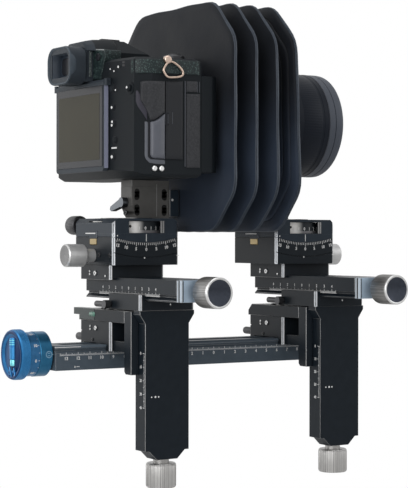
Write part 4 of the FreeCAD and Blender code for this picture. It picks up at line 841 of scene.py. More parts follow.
def ribbed_sleeve(name, body, node, axis, span, radius, ribs, depth, finish, slot):
    """Straight knurl round a knob: fine ribs along its axis, from one end of the span to the other."""
    start, end = span
    centre = middle_of(node)
    sides = ribs * 4
    across, up = sideways(axis)
    wave = [0.0, 0.6, 1.0, 0.6]
    rings = []
    for along, lift in ((start, 0.0), (start + 0.35, 1.0), (end - 0.35, 1.0), (end, 0.0)):
        middle = Vector(centre)
        middle["xyz".index(axis)] = along
        ring = []
        for k, (a, b) in enumerate(circle(sides)):
            r = radius - depth * (1 - lift * wave[k % 4])
            ring.append(middle + (across * a + up * b) * r)
        rings.append(ring)
    return Shape().loft(rings).piece(name, body, [finish], slot, smooth=1.2)


def diamond_sleeve(name, body, node, span, radius, around, depth, finish, slot):
    """Diamond knurl about the focus axis: two crossed spirals of grooves leave small pyramids."""
    start, end = span
    centre = middle_of(node)
    sides, rows = around * 6, 36
    pitch = math.tau * radius / around
    rings = []
    for r in range(rows + 1):
        along = start + (end - start) * r / rows
        edge = min(1.0, min(r, rows - r) / 2)
        ring = []
        for k, (a, b) in enumerate(circle(sides)):
            u, v = k / 6, (along - start) / pitch
            ridge_a = 1 - abs(((u + v) % 1) * 2 - 1)
            ridge_b = 1 - abs(((u - v) % 1) * 2 - 1)
            lift = min(1.0, 1.6 * min(ridge_a, ridge_b)) * edge
            reach = radius - depth * (1 - lift)
            ring.append(Vector((centre.x + b * reach, along, centre.z + a * reach)))
        rings.append(ring)
    return Shape().loft(rings).piece(name, body, [finish], slot, smooth=0.9)


CHAMFER = 1.8
SEAM_BODIES = {"carriage": "focus_carriage", "column_head": "lift_column", "shift_block": "shift_frame",
               "tilt_base": "shift_frame", "tilt_rocker": "tilt_stage", "swing_housing": "tilt_stage"}


def corner_seams(side):
    """Fine dark groove down the middle of each upright chamfer."""
    for node, body in SEAM_BODIES.items():
        (x0, y0, z0), (x1, y1, z1) = box_of(side + "_" + node)
        if node == "tilt_rocker":
            reach = AXIS_HEIGHT - z0
            z0 = AXIS_HEIGHT - math.sqrt(reach ** 2 - ((y1 - y0) / 2 - CHAMFER / 2) ** 2)
        low, high = z0 + 0.6, z1 - (4.4 if node == "swing_housing" else 0.6)
        seams = Print()
        for x, turn in ((x0 + CHAMFER / 2, -1), (x1 - CHAMFER / 2, 1)):
            for y, way in ((y0 + CHAMFER / 2, -1), (y1 - CHAMFER / 2, 1)):
                out = Vector((turn, way, 0)).normalized()
                seams.bar((x, y, (low + high) / 2), Z, out, high - low, 0.42)
        seams.piece(side + "_" + node + "_seams", side + "_" + body, DARK_INK)


# Rail and focus drive

RAIL_SIDE, RAIL_FIGURE_Z, RAIL_FIRST = 18.0, 9.03, -131.33
FOCUS_Z = 12.0
DIAL_TURN = math.radians(-14)
DIAL_RADIUS, COLLAR_RADIUS, KNOB_RADIUS = 16.5, 16.9, 18.7
CRANK_PIN = (0, -165.4, 0)


def rail_details():
    marks = Print()
    ruler(marks, (RAIL_SIDE, RAIL_FIRST, RAIL_FIGURE_Z), (0, 10, 0), range(-13, 14), Z, X, 2.4, 1.9)
    # Painted highlight: a white strip along the top of the rail's side, between the collar and the
    # carriage.
    marks.bar((RAIL_SIDE, -130.0, 17.4), Y, X, 22.0, 0.5)
    marks.figure("0", (RAIL_SIDE, -124.0, 2.6), Z, X, 1.6)
    marks.bar((RAIL_SIDE, -121.4, 2.6), Y, X, 2.6, 0.5)
    marks.piece("rail_scale_and_painted_highlight", "rail")
    screw_set("rail_end_screws", "rail", "y", 1, [(x, 139.6, 9.0) for x in (-11.0, 11.0)], RAIL_SCREW)


def focus_marks():
    collar = Print()
    collar.disc((COLLAR_RADIUS, -145.0, 12.4), X, 2.6, 2.05, 28)
    collar.bar((COLLAR_RADIUS, -145.0, 13.3), Y, X, 2.2, 0.45)
    collar.bar((COLLAR_RADIUS, -145.0, 11.5), Y, X, 2.2, 0.45)
    collar.bar((COLLAR_RADIUS + 0.02, -141.9, 12.4), Y, X, 0.9, 0.5)
    collar.piece("collar_mark", "rail", PALE_BLUE_INK)
    dial = Print()
    count = 36
    for k in range(0, count, 2):
        angle = math.tau * k / count + DIAL_TURN
        out = Vector((math.cos(angle), 0, math.sin(angle)))
        place = Vector((0, 0, FOCUS_Z)) + out * DIAL_RADIUS
        if k % 4 == 0:
            dial.figure(str(k * 10 // 4), place + Y * -155.2, out.cross(Y).normalized(), out, 2.3)
            dial.bar(place + Y * -152.6, Y, out, 1.3, 0.28)
        else:
            dial.bar(place + Y * -152.4, Y, out, 0.8, 0.28)
    dial.piece("focus_dial_marks", "focus_drive")


def focus_drive_details():
    focus_marks()
    diamond_sleeve("focus_knob_knurl", "focus_drive", "focus_dial", (-166.6, -160.2), KNOB_RADIUS + 0.15,
                   60, 0.7, KNOB_BLUE, "blue_anodised")
    grip = Shape()
    handle = [(8.4, 2.9), (8.8, 3.3), (17.6, 3.45), (17.9, 3.1), (18.3, 3.5), (24.0, 3.5), (24.6, 3.0)]
    grip.turned(handle, CRANK_PIN, "z", 36)
    grip.piece("crank_grip_sleeve", "crank", [LIGHT_BLUE], "blue_anodised", bevel=0.1)
    rings = Shape()
    for z in (19.4, 20.9, 22.4):
        rings.turned([(z, 3.5), (z + 0.3, 3.75), (z + 0.6, 3.5)], CRANK_PIN, "z", 36)
    rings.piece("crank_grip_rings", "crank", [CYAN_METAL], "blue_anodised")
    stem = Shape()
    stem.turned([(3.6, 2.7), (4.2, 3.1), (7.6, 3.1), (8.4, 2.7)], CRANK_PIN, "z", 32)
    stem.piece("crank_stem_collar", "crank", [CYAN_METAL], "blue_anodised", bevel=0.15)
    fork = Shape()
    for top, foot in ((Vector((-1.9, 0, 2.8)), Vector((1.2, 0, -4.4))),
                      (Vector((5.0, 0, 2.6)), Vector((7.3, 0, -3.2)))):
        across = (foot - top).normalized().cross(Y) * 0.55
        corners = [top - across, top + across, foot + across, foot - across]
        fork.loft([[corner + Y * y for corner in corners] for y in (-168.5, -167.4)])
    fork.piece("crank_fork_lips", "focus_drive", [LIGHT_BLUE], "blue_anodised", bevel=0.12)


# One standard: scales, screws and knurls. Side is rear or front.

BAR_HALF = 18.7
CARRIAGE_HALF = 23.7
ROCKER_HALF = 28.75
ROCKER_SIDE = 30.8
COLUMN_ZERO = 14.28
BAR_MIDDLE = 4.1
COLUMN_SIDE = 69.0
SILVER_KNOB_RADIUS = 11.25

# Tilt scale: radii of its ticks and figures about the lens axis. Swing dial: its radius, then its rows in Z
TILT_TICKS, TILT_FIGURES = 96.2, 101.1
SWING_DIAL_RADIUS = 29.5
SWING_BAND, SWING_TICKS, SWING_FIGURES = (102.7, 104.7), 103.3, 106.5


def column_details(side):
    y = STANDARDS[side]
    face = y - BAR_HALF
    marks = Print()
    for k in range(5):
        marks.figure(str(k * 10), (62.35, face, COLUMN_ZERO - 10 * k), Z, -Y, 2.2)
    for k in range(41):
        length = tick_length(k)
        marks.bar((COLUMN_SIDE - 1.0 - length / 2, face, COLUMN_ZERO - k), X, -Y, length, 0.36)
    marks.piece(side + "_column_scale", side + "_lift_column")
    foot = Print()
    for dy, dot in ((-13.3, 0.55), (-10.1, 0.75), (-7.4, 0.6)):
        foot.disc((COLUMN_SIDE, y + dy, -17.8), X, dot)
    foot.disc((COLUMN_SIDE, y + 2.6, 49.9), X, 0.6)
    foot.piece(side + "_column_mark", side + "_lift_column")
    # Level 1.42 paints the lift knob lighter, as painted light.
    dress_knob(side + "_lift_knob", side + "_lift_drive", "z", 1.42, (-84.6, -69.0))


def dress_knob(node, body, axis, level, span):
    """Silver knob with painted reflection streaks about its own axis, which its knurl shares."""
    nickel = silver_knob(node + "_nickel", middle_of(node), axis, level)
    dress(node, nickel)
    ribbed_sleeve(node + "_knurl", body, node, axis, span, SILVER_KNOB_RADIUS, 64, 0.24, nickel,
                  "silver_anodised")


def bar_details(side):
    y = STANDARDS[side]
    marks = Print()
    for face, out in ((y - BAR_HALF, -Y), (y + BAR_HALF, Y)):
        ruler(marks, (BAR_MIDDLE, face, 61.65), (10, 0, 0), range(-4, 5), Z, out, 2.2, -4.9)
        marks.bar((BAR_MIDDLE + 40.0, face, 56.5), X, out, 92.0, 0.3)
    marks.piece(side + "_shift_scale", side + "_shift_frame")
    end_plate_trim(side)
    back = box_of(side + "_shift_block")[0].y
    screw_set(side + "_shift_block_screws", side + "_shift_frame", "y", -1, [(1.2, back, 72.0)],
              BLOCK_SCREW, STEEL)
    screw_set(side + "_shift_gib_screws", side + "_shift_frame", "y", -1,
              [(-7.7, back, 73.3), (-7.7, back, 71.2), (17.2, back, 70.1)], GIB_SCREW, STEEL)
    # Level 1.05 sets how light the shift knob's colour is painted for the light it gets.
    dress_knob(side + "_shift_knob", side + "_shift_drive", "x", 1.05, (122.9, 138.6))


def end_plate_trim(side):
    """Dark joint between the shift bar and its end plate, and the paler lip beside it."""
    (x0, y0, z0), (x1, y1, z1) = box_of(side + "_shift_end_plate")
    middle, height = (z0 + z1) / 2, z1 - z0
    joint = Print()
    lip = Print()
    for face, out in ((y0, -Y), (y1, Y)):
        joint.bar((x0 + 3.8, face, middle), Z, out, height - 0.4, 1.4)
        lip.bar((x0 + 2.0, face, middle), Z, out, height - 0.4, 2.2)
    joint.bar((x1, y0 + 2.3, middle), Z, X, height - 0.8, 0.6)
    joint.piece(side + "_end_plate_joint", side + "_shift_frame", DARK_INK)
    lip.piece(side + "_end_plate_lip", side + "_shift_frame", PLATE_LIP)


def stage_details(side):
    tilt_scale(side)
    swing_scale(side)
    dial_band(side)
    knob_dish(side)
    tilt_knob_rim(side)
    dial_holes(side)
    worm_box(side)
    small_knobs(side)
    outer = STAGES[side] + ROCKER_HALF * OUTWARD[side]
    screw_set(side + "_base_screws", side + "_shift_frame", "y", OUTWARD[side],
              [(x, outer, 85.9) for x in (-26.5, 9.6, 26.5)], BASE_SCREW)


def tilt_scale(side):
    """Degrees on the cradle below the rocker, 15 each way on both sides, and the rocker's index."""
    stage = STAGES[side]
    base, rocker = Print(), Print()
    for x, outward in ((ROCKER_SIDE, X), (-ROCKER_SIDE, -X)):
        axle = Vector((x, stage, AXIS_HEIGHT))
        for degrees in range(-15, 16):
            angle = math.radians(degrees)
            along = Vector((0, math.sin(angle), -math.cos(angle)))
            long = 3.2 if degrees == 0 else (2.8 if degrees % 5 == 0 else 1.9)
            base.bar(axle + along * (TILT_TICKS + long / 2), along, outward, long, 0.42)
            if degrees % 5 == 0:
                # The outermost figures stand a little further in, clear of the cradle's edge.
                turn = angle * (14.2 / 15 if abs(degrees) == 15 else 1)
                towards = Vector((0, math.sin(turn), -math.cos(turn)))
                base.figure(str(abs(degrees)), axle + towards * TILT_FIGURES, -towards, outward, 2.4)
        base.disc((x, stage - 1.5, 83.8), outward, 0.6)
        base.bar((x, stage + 27.6, 85.6), Y, outward, 2.0, 0.6)
        rocker.bar((x, stage, 99.1), Z, outward, 5.6, 0.6)
        rocker.disc((x, stage - 25.0 * outward.x, 100.6), outward, 0.5)
    base.piece(side + "_tilt_scale", side + "_shift_frame")
    rocker.piece(side + "_tilt_index", side + "_tilt_stage")


def swing_scale(side):
    """Ticks and figures round the turntable, seen through its two windows."""
    foot = Vector((0, STAGES[side], 0))
    dial = Print()
    for half_turn in (0, 180):
        for degrees in range(-30, 31, 2):
            normal = heading(degrees + half_turn)
            place = foot + normal * SWING_DIAL_RADIUS
            long = 1.6 if degrees % 10 == 0 else 1.0
            dial.bar(place + Z * (SWING_TICKS + long / 2), Z, normal, long, TICK_WIDTH)
            if degrees % 10 == 0:
                dial.figure(str(abs(degrees) // 10), place + Z * SWING_FIGURES, Z, normal, 2.3)
    dial.piece(side + "_swing_scale", side + "_swing_stage")


def dial_holes(side):
    """Small hole in the turntable's rim, in each window, drawn as a dark disc of painted shade."""
    holes = Print()
    for half_turn in (0, 180):
        spot = heading(half_turn - 23.8)
        holes.disc(Vector((0, STAGES[side], 107.7)) + spot * (SWING_DIAL_RADIUS + 0.12), spot, 1.05)
    holes.piece(side + "_dial_hole_shade", side + "_swing_stage", DARK_INK)


def heading(degrees):
    """Level direction at an angle from +X towards +Y."""
    return Vector((math.cos(math.radians(degrees)), math.sin(math.radians(degrees)), 0))


def worm_box(side):
    """Brass ends of the tilt rack in their slots in the rocker, each under a small cover with a slit."""
    brass, cover, slit, jamb = Shape(), Shape(), Print(), Shape()
    for out in (1, -1):
        face = STAGES[side] + ROCKER_HALF * out
        low, high = sorted((face - 0.4 * out, face + 0.35 * out))
        brass.box((-5.6, low, 93.9), (4.9, high, 98.4))
        cover.box((-6.4, low - 0.1, 98.4), (6.2, high + 0.1, 103.9))
        slit.bar((-4.2, face + 0.5 * out, 102.4), X, Y * out, 16.2, 0.85)
    brass.piece(side + "_rack_end", side + "_tilt_stage", [BRASS], "brass", bevel=0.25)
    cover.piece(side + "_rack_cover", side + "_tilt_stage", [HOUSING_BLACK], "black_anodised", bevel=0.15)
    slit.piece(side + "_housing_slit", side + "_tilt_stage")
    for turn in (1, -1):
        x0, x1 = sorted((30.5 * turn, 31.0 * turn))
        for a, b in ((12.4, 13.8), (14.3, 15.6)):
            y0, y1 = sorted((STAGES[side] + a * turn, STAGES[side] + b * turn))
            jamb.box((x0, y0, 102.7), (x1, y1, 111.9))
    jamb.piece(side + "_window_jamb", side + "_tilt_stage", [EDGE_METAL], "silver_anodised")


def dial_band(side):
    """Pale strip below the dial's figures, which carries its ticks, in each of the two windows."""
    band = Shape()
    steps, reach = 24, 36
    inner, outer = SWING_DIAL_RADIUS - 0.5, SWING_DIAL_RADIUS + 0.1
    low, high = SWING_BAND
    section = ((inner, low), (outer, low), (outer, high), (inner, high))
    foot = Vector((0, STAGES[side], 0))
    for half_turn in (0, 180):
        spokes = [heading(half_turn + reach * (2 * k / steps - 1)) for k in range(steps + 1)]
        band.loft([[foot + spoke * r + Z * z for r, z in reversed(section)] for spoke in spokes])
    band.piece(side + "_dial_band", side + "_swing_stage", [DIAL_BAND], "silver_anodised")


def knob_dish(side):
    """Raised silver rim and dark polished dish in the end of the shift knob."""
    face = box_of(side + "_shift_knob")[1].x
    middle = middle_of(side + "_shift_knob")
    centre = (face, middle.y, middle.z)
    rim = Shape()
    lip = [(-0.3, 11.2), (0.4, 11.2), (1.0, 10.6), (1.0, 9.9), (0.7, 9.3), (-0.3, 9.2)]
    rim.hoop(lip, centre, "x", 90)
    rim.piece(side + "_shift_knob_rim", side + "_shift_drive", [SILVER], "silver_anodised")
    dish = Shape()
    edge = 9.5
    bowl = [(0.05 + 0.8 * (r / edge) ** 2, r) for r in (edge, 8.6, 7.4, 6.0, 4.4, 2.6, 0.4)]
    dish.turned([(-0.5, edge)] + bowl, centre, "x", 72)
    dish.piece(side + "_shift_knob_dish", side + "_shift_drive", [KNOB_DISH], "black_anodised")


def tilt_knob_rim(side):
    """Bright turned chamfer round the end of the tilt knob."""
    low, high = box_of(side + "_tilt_knob")
    middle, out = middle_of(side + "_tilt_knob"), OUTWARD[side]
    centre = (middle.x, low.y if out < 0 else high.y, middle.z)
    radius = (high.z - low.z) / 2
    profile = [(0.24, radius - 0.56), (0.88, radius + 0.10), (0.95, radius - 0.5), (0.6, radius - 0.7)]
    rim = Shape()
    rim.hoop([(-out * depth, r) for depth, r in profile][::-out], centre, "y", 90)
    rim.piece(side + "_tilt_knob_rim", side + "_tilt_drive", [SILVER], "silver_anodised")


def small_knobs(side):
    """Sleeve of the tilt knob, and the knurls of the swing knob and the carriage lock."""
    out = OUTWARD[side]
    low, high = box_of(side + "_tilt_knob")
    end = low.y if out < 0 else high.y
    ribbed_sleeve(side + "_tilt_knob_knurl", side + "_tilt_drive", side + "_tilt_knob", "y",
                  sorted((end - out * 1.2, end - out * 14.6)), 8.72, 52, 0.05, SATIN, "silver_anodised")
    left = box_of(side + "_swing_knob")[0].x
    ribbed_sleeve(side + "_swing_knob_knurl", side + "_swing_drive", side + "_swing_knob", "x",
                  (left + 0.9, left + 12.6), 7.5, 40, 0.35, BLACK_STEEL, "black_steel")
    low, high = box_of(side + "_carriage_lock")
    ribbed_sleeve(side + "_lock_knurl", side + "_lock", side + "_carriage_lock", "x",
                  (low.x + 0.8, low.x + 12.6), (high.z - low.z) / 2 + 0.1, 36, 0.3,
                  BLACK_STEEL, "black_steel")


def carriage_details(side):
    body = side + "_focus_carriage"
    y = STANDARDS[side]
    face = y - CARRIAGE_HALF
    screw_set(side + "_carriage_screws", body, "y", -1, [(2.1, face, 30.1)], BLOCK_SCREW, STEEL)
    screw_set(side + "_carriage_gib_screws", body, "y", -1, [(-7.1, face, 31.2), (-7.1, face, 28.9)],
              GIB_SCREW, STEEL)
    screw_set(side + "_carriage_grub", body, "y", -1, [(-3.5, face, 21.0)], GRUB_SCREW)
    screw_set(side + "_arm_screws", body, "z", 1,
              [(x, y + dy, 44.6) for x in (2.0, 14.0) for dy in (-17.0, 17.0)], ARM_SCREW)


def spirit_vial():
    """Vial set across into the outer face of the level's block, with its two lines."""
    centre = (0, box_of("spirit_level")[0].y + 1.2, middle_of("spirit_level").z)
    vial = Shape()
    tube = [(-7.6, 0.6), (-7.0, 1.8), (-6.0, 2.2), (0.4, 2.2), (1.4, 1.8), (2.0, 0.6)]
    vial.turned(tube, centre, "x", 28)
    vial.piece("level_vial", "rear_focus_carriage", [FLUID], "level_green", smooth=0.8)
    lines = Shape()
    for place in (-4.4, -1.2):
        lines.turned([(place, 2.27), (place + 0.3, 2.27)], centre, "x", 28)
    lines.piece("level_lines", "rear_focus_carriage", [DARK_INK], "black_steel")


RISER_HALF = 8.75


def riser_details():
    low, high = box_of("camera_riser")
    marks = Print()
    marks.bar((RISER_HALF, -48.1, 128.0), Z, X, 25.0, 0.45)
    marks.piece("riser_mark", "rear_swing_stage", SEAM_LIGHT)
    spot = Print()
    spot.disc((RISER_HALF, -33.9, 128.6), X, 1.0)
    spot.piece("clamp_jaw_dot", "jaw")
    # Painted shade: dark capsules on the riser's sides stand for its slots.
    slots = Print()
    for x, out in ((RISER_HALF, X), (-RISER_HALF, -X)):
        for y in (low.y + 4.6, high.y - 4.6):
            for z in (120.4, 132.6):
                slots.bar((x, y, z), Z, out, 4.4, 4.4)
                for end in (-2.2, 2.2):
                    slots.disc((x, y, z + end), out, 2.2)
    slots.piece("riser_slot_shade", "rear_swing_stage", DARK_INK)
    screw_set("riser_screws", "rear_swing_stage", "y", -1, [(0, low.y, 118.5)], RISER_SCREW)
    screw_set("riser_side_screws", "rear_swing_stage", "x", 1, [(7.6, -67.2, 132.6)], SIDE_SCREW, STEEL)


# Camera body

BACK_Y = -107.3
CAMERA_SIDE = 75.5
CAMERA_TOP = 231.0
GRIP_LINE = (Vector((42.0, BACK_Y)), Vector((69.0, -102.4)), Vector((CAMERA_SIDE, -91.0)),
             Vector((CAMERA_SIDE, -44.0)))
SLOPE_START, SLOPE_END = GRIP_LINE[0].to_3d(), GRIP_LINE[1].to_3d()


def camera_piece(shape, name, finish, bevel=0.0, smooth=0.6):
    """Piece of the camera body, which rides behind the bellows."""
    return shape.piece(name, "rear_swing_stage", [finish], "camera_black", bevel, smooth)


def back_normal():
    """Outward direction of the back's sloping right part."""
    along = (SLOPE_END - SLOPE_START).normalized()
    return Vector((along.y, -along.x, 0))


def on_slope(x, z):
    share = (x - SLOPE_START.x) / (SLOPE_END.x - SLOPE_START.x)
    place = SLOPE_START.lerp(SLOPE_END, share)
    return Vector((place.x, place.y, z))


def button(shape, place, normal, radius, height, dome=0.25):
    """Low round button whose top is slightly domed."""
    across = normal.orthogonal().normalized()
    up = normal.cross(across)
    rings = []
    for along, r in ((-0.6, radius), (height * 0.7, radius), (height, radius * 0.82),
                     (height + dome, radius * 0.4)):
        rings.append([place + normal * along + (across * a + up * b) * r for a, b in circle(28)])
    shape.loft(rings)


def camera_back():
    """Buttons down the back, each in its shallow ring, their marks, the thumb stick with a painted glint on
    its top, and the rear dial.
    """
    normal = back_normal()
    buttons, rings, marks = Shape(), Shape(), Print()
    for x, z, radius in ((44.6, 209.6, 3.3), (44.9, 195.2, 2.6), (45.3, 183.1, 2.9), (47.2, 171.0, 2.5),
                         (45.3, 158.7, 2.5)):
        place = on_slope(x, z)
        button(buttons, place, normal, radius, 0.9)
        button(rings, place, normal, radius + 0.7, 0.25, dome=0.0)
    camera_piece(buttons, "camera_back_buttons", SHELL)
    camera_piece(rings, "camera_button_rings", DARK_GLASS)
    for x, z, radius in ((49.2, 207.7, 0.7), (44.9, 195.2, 1.0), (45.4, 184.6, 1.0), (45.0, 182.0, 1.0),
                         (45.1, 158.7, 1.2), (52.4, 224.6, 0.9), (47.5, 221.8, 0.7), (43.2, 223.6, 0.6)):
        marks.disc(on_slope(x, z) + normal * 1.12, normal, radius)
    marks.bar(on_slope(46.6, 165.3) + normal * 0.1, Vector((-normal.y, normal.x, 0)), normal, 6.2, 1.1)
    marks.piece("camera_back_marks", "rear_swing_stage")
    stick = Shape()
    base = on_slope(64.5, 208.3)
    button(stick, base, normal, 4.6, 0.6, dome=0.1)
    button(stick, base + normal * 0.8, normal, 2.5, 1.8, dome=0.5)
    camera_piece(stick, "camera_thumb_stick", SHELL)
    # Painted highlight: a white spot on the top of the thumb stick.
    painted_glint = Print()
    painted_glint.disc(base + normal * 3.2 + Z * 0.3, normal, 0.9)
    painted_glint.piece("camera_thumb_stick_painted_glint", "rear_swing_stage")
    dial = Shape()
    for low in (224.4, 226.6):
        dial.turned([(low, 7.0), (low + 0.4, 7.3), (low + 1.8, 7.3)], (56.0, -97.5, 0), "z", 60)
    camera_piece(dial, "camera_rear_dial", BLACK_STEEL)


def on_grip_line(run):
    """Place in plan after a run along the camera's outline, and the direction of that stretch."""
    for first, second in zip(GRIP_LINE, GRIP_LINE[1:]):
        length = (second - first).length
        if run <= length or second is GRIP_LINE[-1]:
            along = (second - first).normalized()
            return first + along * run, along
        run -= length


def on_grip(run, z, lift):
    """Point off the camera's side, which is followed round its corners in an even bend."""
    place, heading = Vector((0, 0)), Vector((0, 0))
    samples, spread = 9, 9.0
    for k in range(samples):
        near, along = on_grip_line(run + (k / (samples - 1) - 0.5) * spread)
        place += near / samples
        heading += along
    heading.normalize()
    place += Vector((heading.y, -heading.x)) * (lift + 0.45)
    return Vector((place.x, place.y, z))


EDGE_STEPS = (0.0, 0.25, 0.7, 1.3)


def edged(low, high, count):
    """Places from low to high, evenly spaced but for finer steps at each edge."""
    rim = EDGE_STEPS[-1]
    middle = [low + rim + (high - low - 2 * rim) * k / count for k in range(count + 1)]
    return [low + d for d in EDGE_STEPS[:3]] + middle + [high - d for d in EDGE_STEPS[2::-1]]


def wrapped_panel(name, columns, height, finish, ridge=None, crown=0.0):
    """Panel wrapped round the grip. Columns give a run along it with the panel's lowest and highest Z.
    A ridge (run, low, high, width, rise) swells along its left part. A crown swells the whole panel."""
    first, last = columns[0][0], columns[-1][0]
    grid = []
    for run in edged(first, last, max(3, round((last - first) / 0.9))):
        for before, after in zip(columns, columns[1:]):
            if run <= after[0] + 1e-6:
                break
        share = (run - before[0]) / (after[0] - before[0])
        low, high = (before[k] + (after[k] - before[k]) * share for k in (1, 2))
        column = []
        for z in edged(low, high, 22):
            inset = min(run - first, last - run, z - low, high - z)
            rise = height * min(1.0, max(0.0, inset / 1.1)) ** 0.5
            if crown:
                bow = 4 * (run - first) * (last - run) / (last - first) ** 2
                rise += crown * bow * min(1.0, inset / 2.0)
            if ridge:
                top, foot, peak, width, swell = ridge
                reach = max(0.0, 1 - abs(run - top) / width)
                ends = min(1.0, max(0.0, min(z - foot, peak - z) / 5.0))
                rise += swell * (reach * reach * (3 - 2 * reach)) * ends * min(1.0, inset / 1.3)
            column.append(on_grip(run, z, rise if inset > 1e-6 else -1.2))
        grid.append(column)
    points = [point for column in grid for point in column]
    rows = len(grid[0])
    faces = [[c * rows + r, (c + 1) * rows + r, (c + 1) * rows + r + 1, c * rows + r + 1]
             for c in range(len(grid) - 1) for r in range(rows - 1)]
    camera_piece(Shape().add(points, faces), name, finish, smooth=0.7)


def camera_side():
    """Leather and panels wrapped round the grip, card door, remote socket, strap ring and seams."""
    leather = [(31.7, 199.5, 212.6), (33.9, 196.0, 213.2), (36.9, 190.8, 213.5), (39.2, 184.2, 213.5),
               (43.0, 184.9, 213.5), (47.3, 187.9, 213.6), (51.2, 190.6, 213.7)]
    ridge = (33.4, 191.0, 214.0, 3.4, 2.0)
    wrapped_panel("camera_thumb_leather", leather, 1.1, LEATHER, ridge, crown=0.9)
    hollow = [(28.2, 199.0, 206.0), (30.0, 194.5, 206.5), (34.0, 189.0, 200.0), (37.2, 184.0, 190.0)]
    wrapped_panel("camera_thumb_hollow", hollow, 0.25, HOLLOW)
    frame_line = [(35.0, 159.0, 183.8), (36.0, 156.2, 183.8), (38.7, 153.4, 183.8), (44.0, 152.6, 183.8),
                  (51.3, 152.6, 183.8)]
    wrapped_panel("camera_grip_frame", frame_line, 0.5, TRIM_GREY)
    groove = [(36.6, 159.6, 183.8), (37.4, 157.2, 183.8), (39.4, 155.4, 183.8), (51.3, 155.0, 183.8)]
    wrapped_panel("camera_grip_groove", groove, 0.62, DARK_GLASS)
    lower = [(39.0, 159.2, 183.2), (40.4, 157.2, 184.0), (43.0, 156.7, 184.6), (47.3, 156.6, 187.5),
             (51.2, 156.5, 190.2)]
    wrapped_panel("camera_grip_panel", lower, 1.3, GRIP_PANEL, crown=1.2)
    door = [(51.5, 156.4, 213.7), (66.4, 156.3, 214.2)]
    wrapped_panel("camera_card_door", door, 1.0, DOOR)
    front = [(69.4, 150.5, 205.2), (81.4, 150.8, 205.6)]
    wrapped_panel("camera_front_leather", front, 0.6, LEATHER)
    upper = [(69.4, 206.4, 214.6), (78.8, 206.6, 214.9)]
    wrapped_panel("camera_front_upper_leather", upper, 0.6, LEATHER)
    band = [(24.0, 218.6, 229.0), (40.0, 218.8, 229.4), (81.0, 219.4, 229.8)]
    wrapped_panel("camera_top_leather", band, 0.35, SPECKLED)
    cover = Shape().box((76.0, -81.0, 181.2), (77.15, -77.6, 190.6))
    camera_piece(cover, "camera_socket_cover", DARK_GLASS, bevel=0.3)
    lines = Print()
    lines.bar((77.2, -78.5, 186.0), Z, X, 7.0, 0.4)
    lines.bar((77.0, -74.6, 186.6), Z, X, 8.6, 0.4)
    lines.bar((76.0, -63.2, 183.0), Z, X, 63.0, 0.7)
    lines.bar((76.0, -52.4, 210.6), Z, X, 8.0, 0.4)
    lines.bar((76.0, -50.8, 210.6), Z, X, 8.0, 0.4)
    lines.piece("camera_side_seams", "rear_swing_stage", SEAM)
    feet = Shape()
    for y in (-89.3, -83.4):
        feet.turned([(-0.5, 2.0), (1.4, 2.0), (1.9, 1.5)], (CAMERA_SIDE, y, 149.6), "x", 24)
    feet.piece("camera_side_studs", "rear_swing_stage", [STUD], "silver_anodised")
    strap_ring()


def strap_ring():
    """Post and bent wire ring for the strap."""
    post = Shape().turned([(75.0, 3.0), (78.2, 3.0), (78.9, 2.2)], (0, -78.8, 229.2), "x", 36)
    camera_piece(post, "camera_strap_post", COPPER, bevel=0.2)
    bends = [(-78.6, 227.4), (-82.4, 222.6), (-82.2, 219.6), (-79.2, 216.6), (-74.0, 216.5),
             (-68.0, 217.5), (-66.2, 219.6), (-67.4, 222.6), (-71.0, 225.6), (-75.0, 227.6)]
    path, count, steps = [], len(bends), 5
    for k in range(count):
        a, b, c, d = (Vector(bends[(k + j) % count]) for j in (-1, 0, 1, 2))
        for step in range(steps):
            t = step / steps
            path.append(0.5 * (2 * b + (c - a) * t + (2 * a - 5 * b + 4 * c - d) * t * t
                               + (3 * b - a - 3 * c + d) * t ** 3))
    rings, wire = [], 0.85
    for k, place in enumerate(path):
        along = (path[(k + 1) % len(path)] - path[k - 1]).normalized()
        side_step = Vector((0, -along.y, along.x))
        centre = Vector((77.9, place.x, place.y))
        rings.append([centre + side_step * (a * wire) + X * (b * wire) for a, b in circle(12)])
    camera_piece(Shape().loft(rings + rings[:1], capped=False), "camera_strap_ring", COPPER, smooth=1.0)


def camera_top():
    """Hot shoe, dials and display on the top plate."""
    top, crown = CAMERA_TOP, 248.5
    shoe = Shape().box((-10.5, -98.0, crown - 0.3), (10.5, -81.6, crown + 0.65))
    for x in (-10.5, 8.3):
        shoe.box((x, -97.6, crown + 0.6), (x + 2.2, -82.0, crown + 1.2))
    for low, high in ((-10.5, -6.6), (6.6, 10.5)):
        shoe.box((low, -97.6, crown + 1.1), (high, -82.0, crown + 1.6))
    camera_piece(shoe, "camera_hot_shoe", BLACK_STEEL, bevel=0.2)
    dials = Shape()
    dials.turned([(-0.4, 10.4), (0.6, 10.6), (5.6, 10.6), (6.2, 9.9)], (-45.0, -78.0, top), "z", 90)
    dials.turned([(-0.4, 8.2), (3.4, 8.2), (4.0, 7.4)], (54.0, -60.0, top), "z", 72)
    dials.turned([(3.8, 4.4), (5.0, 4.4), (5.3, 3.8)], (54.0, -60.0, top), "z", 48)
    camera_piece(dials, "camera_top_dials", BLACK_STEEL, bevel=0.2)
    window = Shape().loft([[Vector((44.0 + a, -84.0 + b, z)) for a, b in rounded_outline(26.0, 20.0, 2.0)]
                           for z in (top - 0.3, top + 0.35)])
    camera_piece(window, "camera_top_display", DARK_GLASS, bevel=0.2)


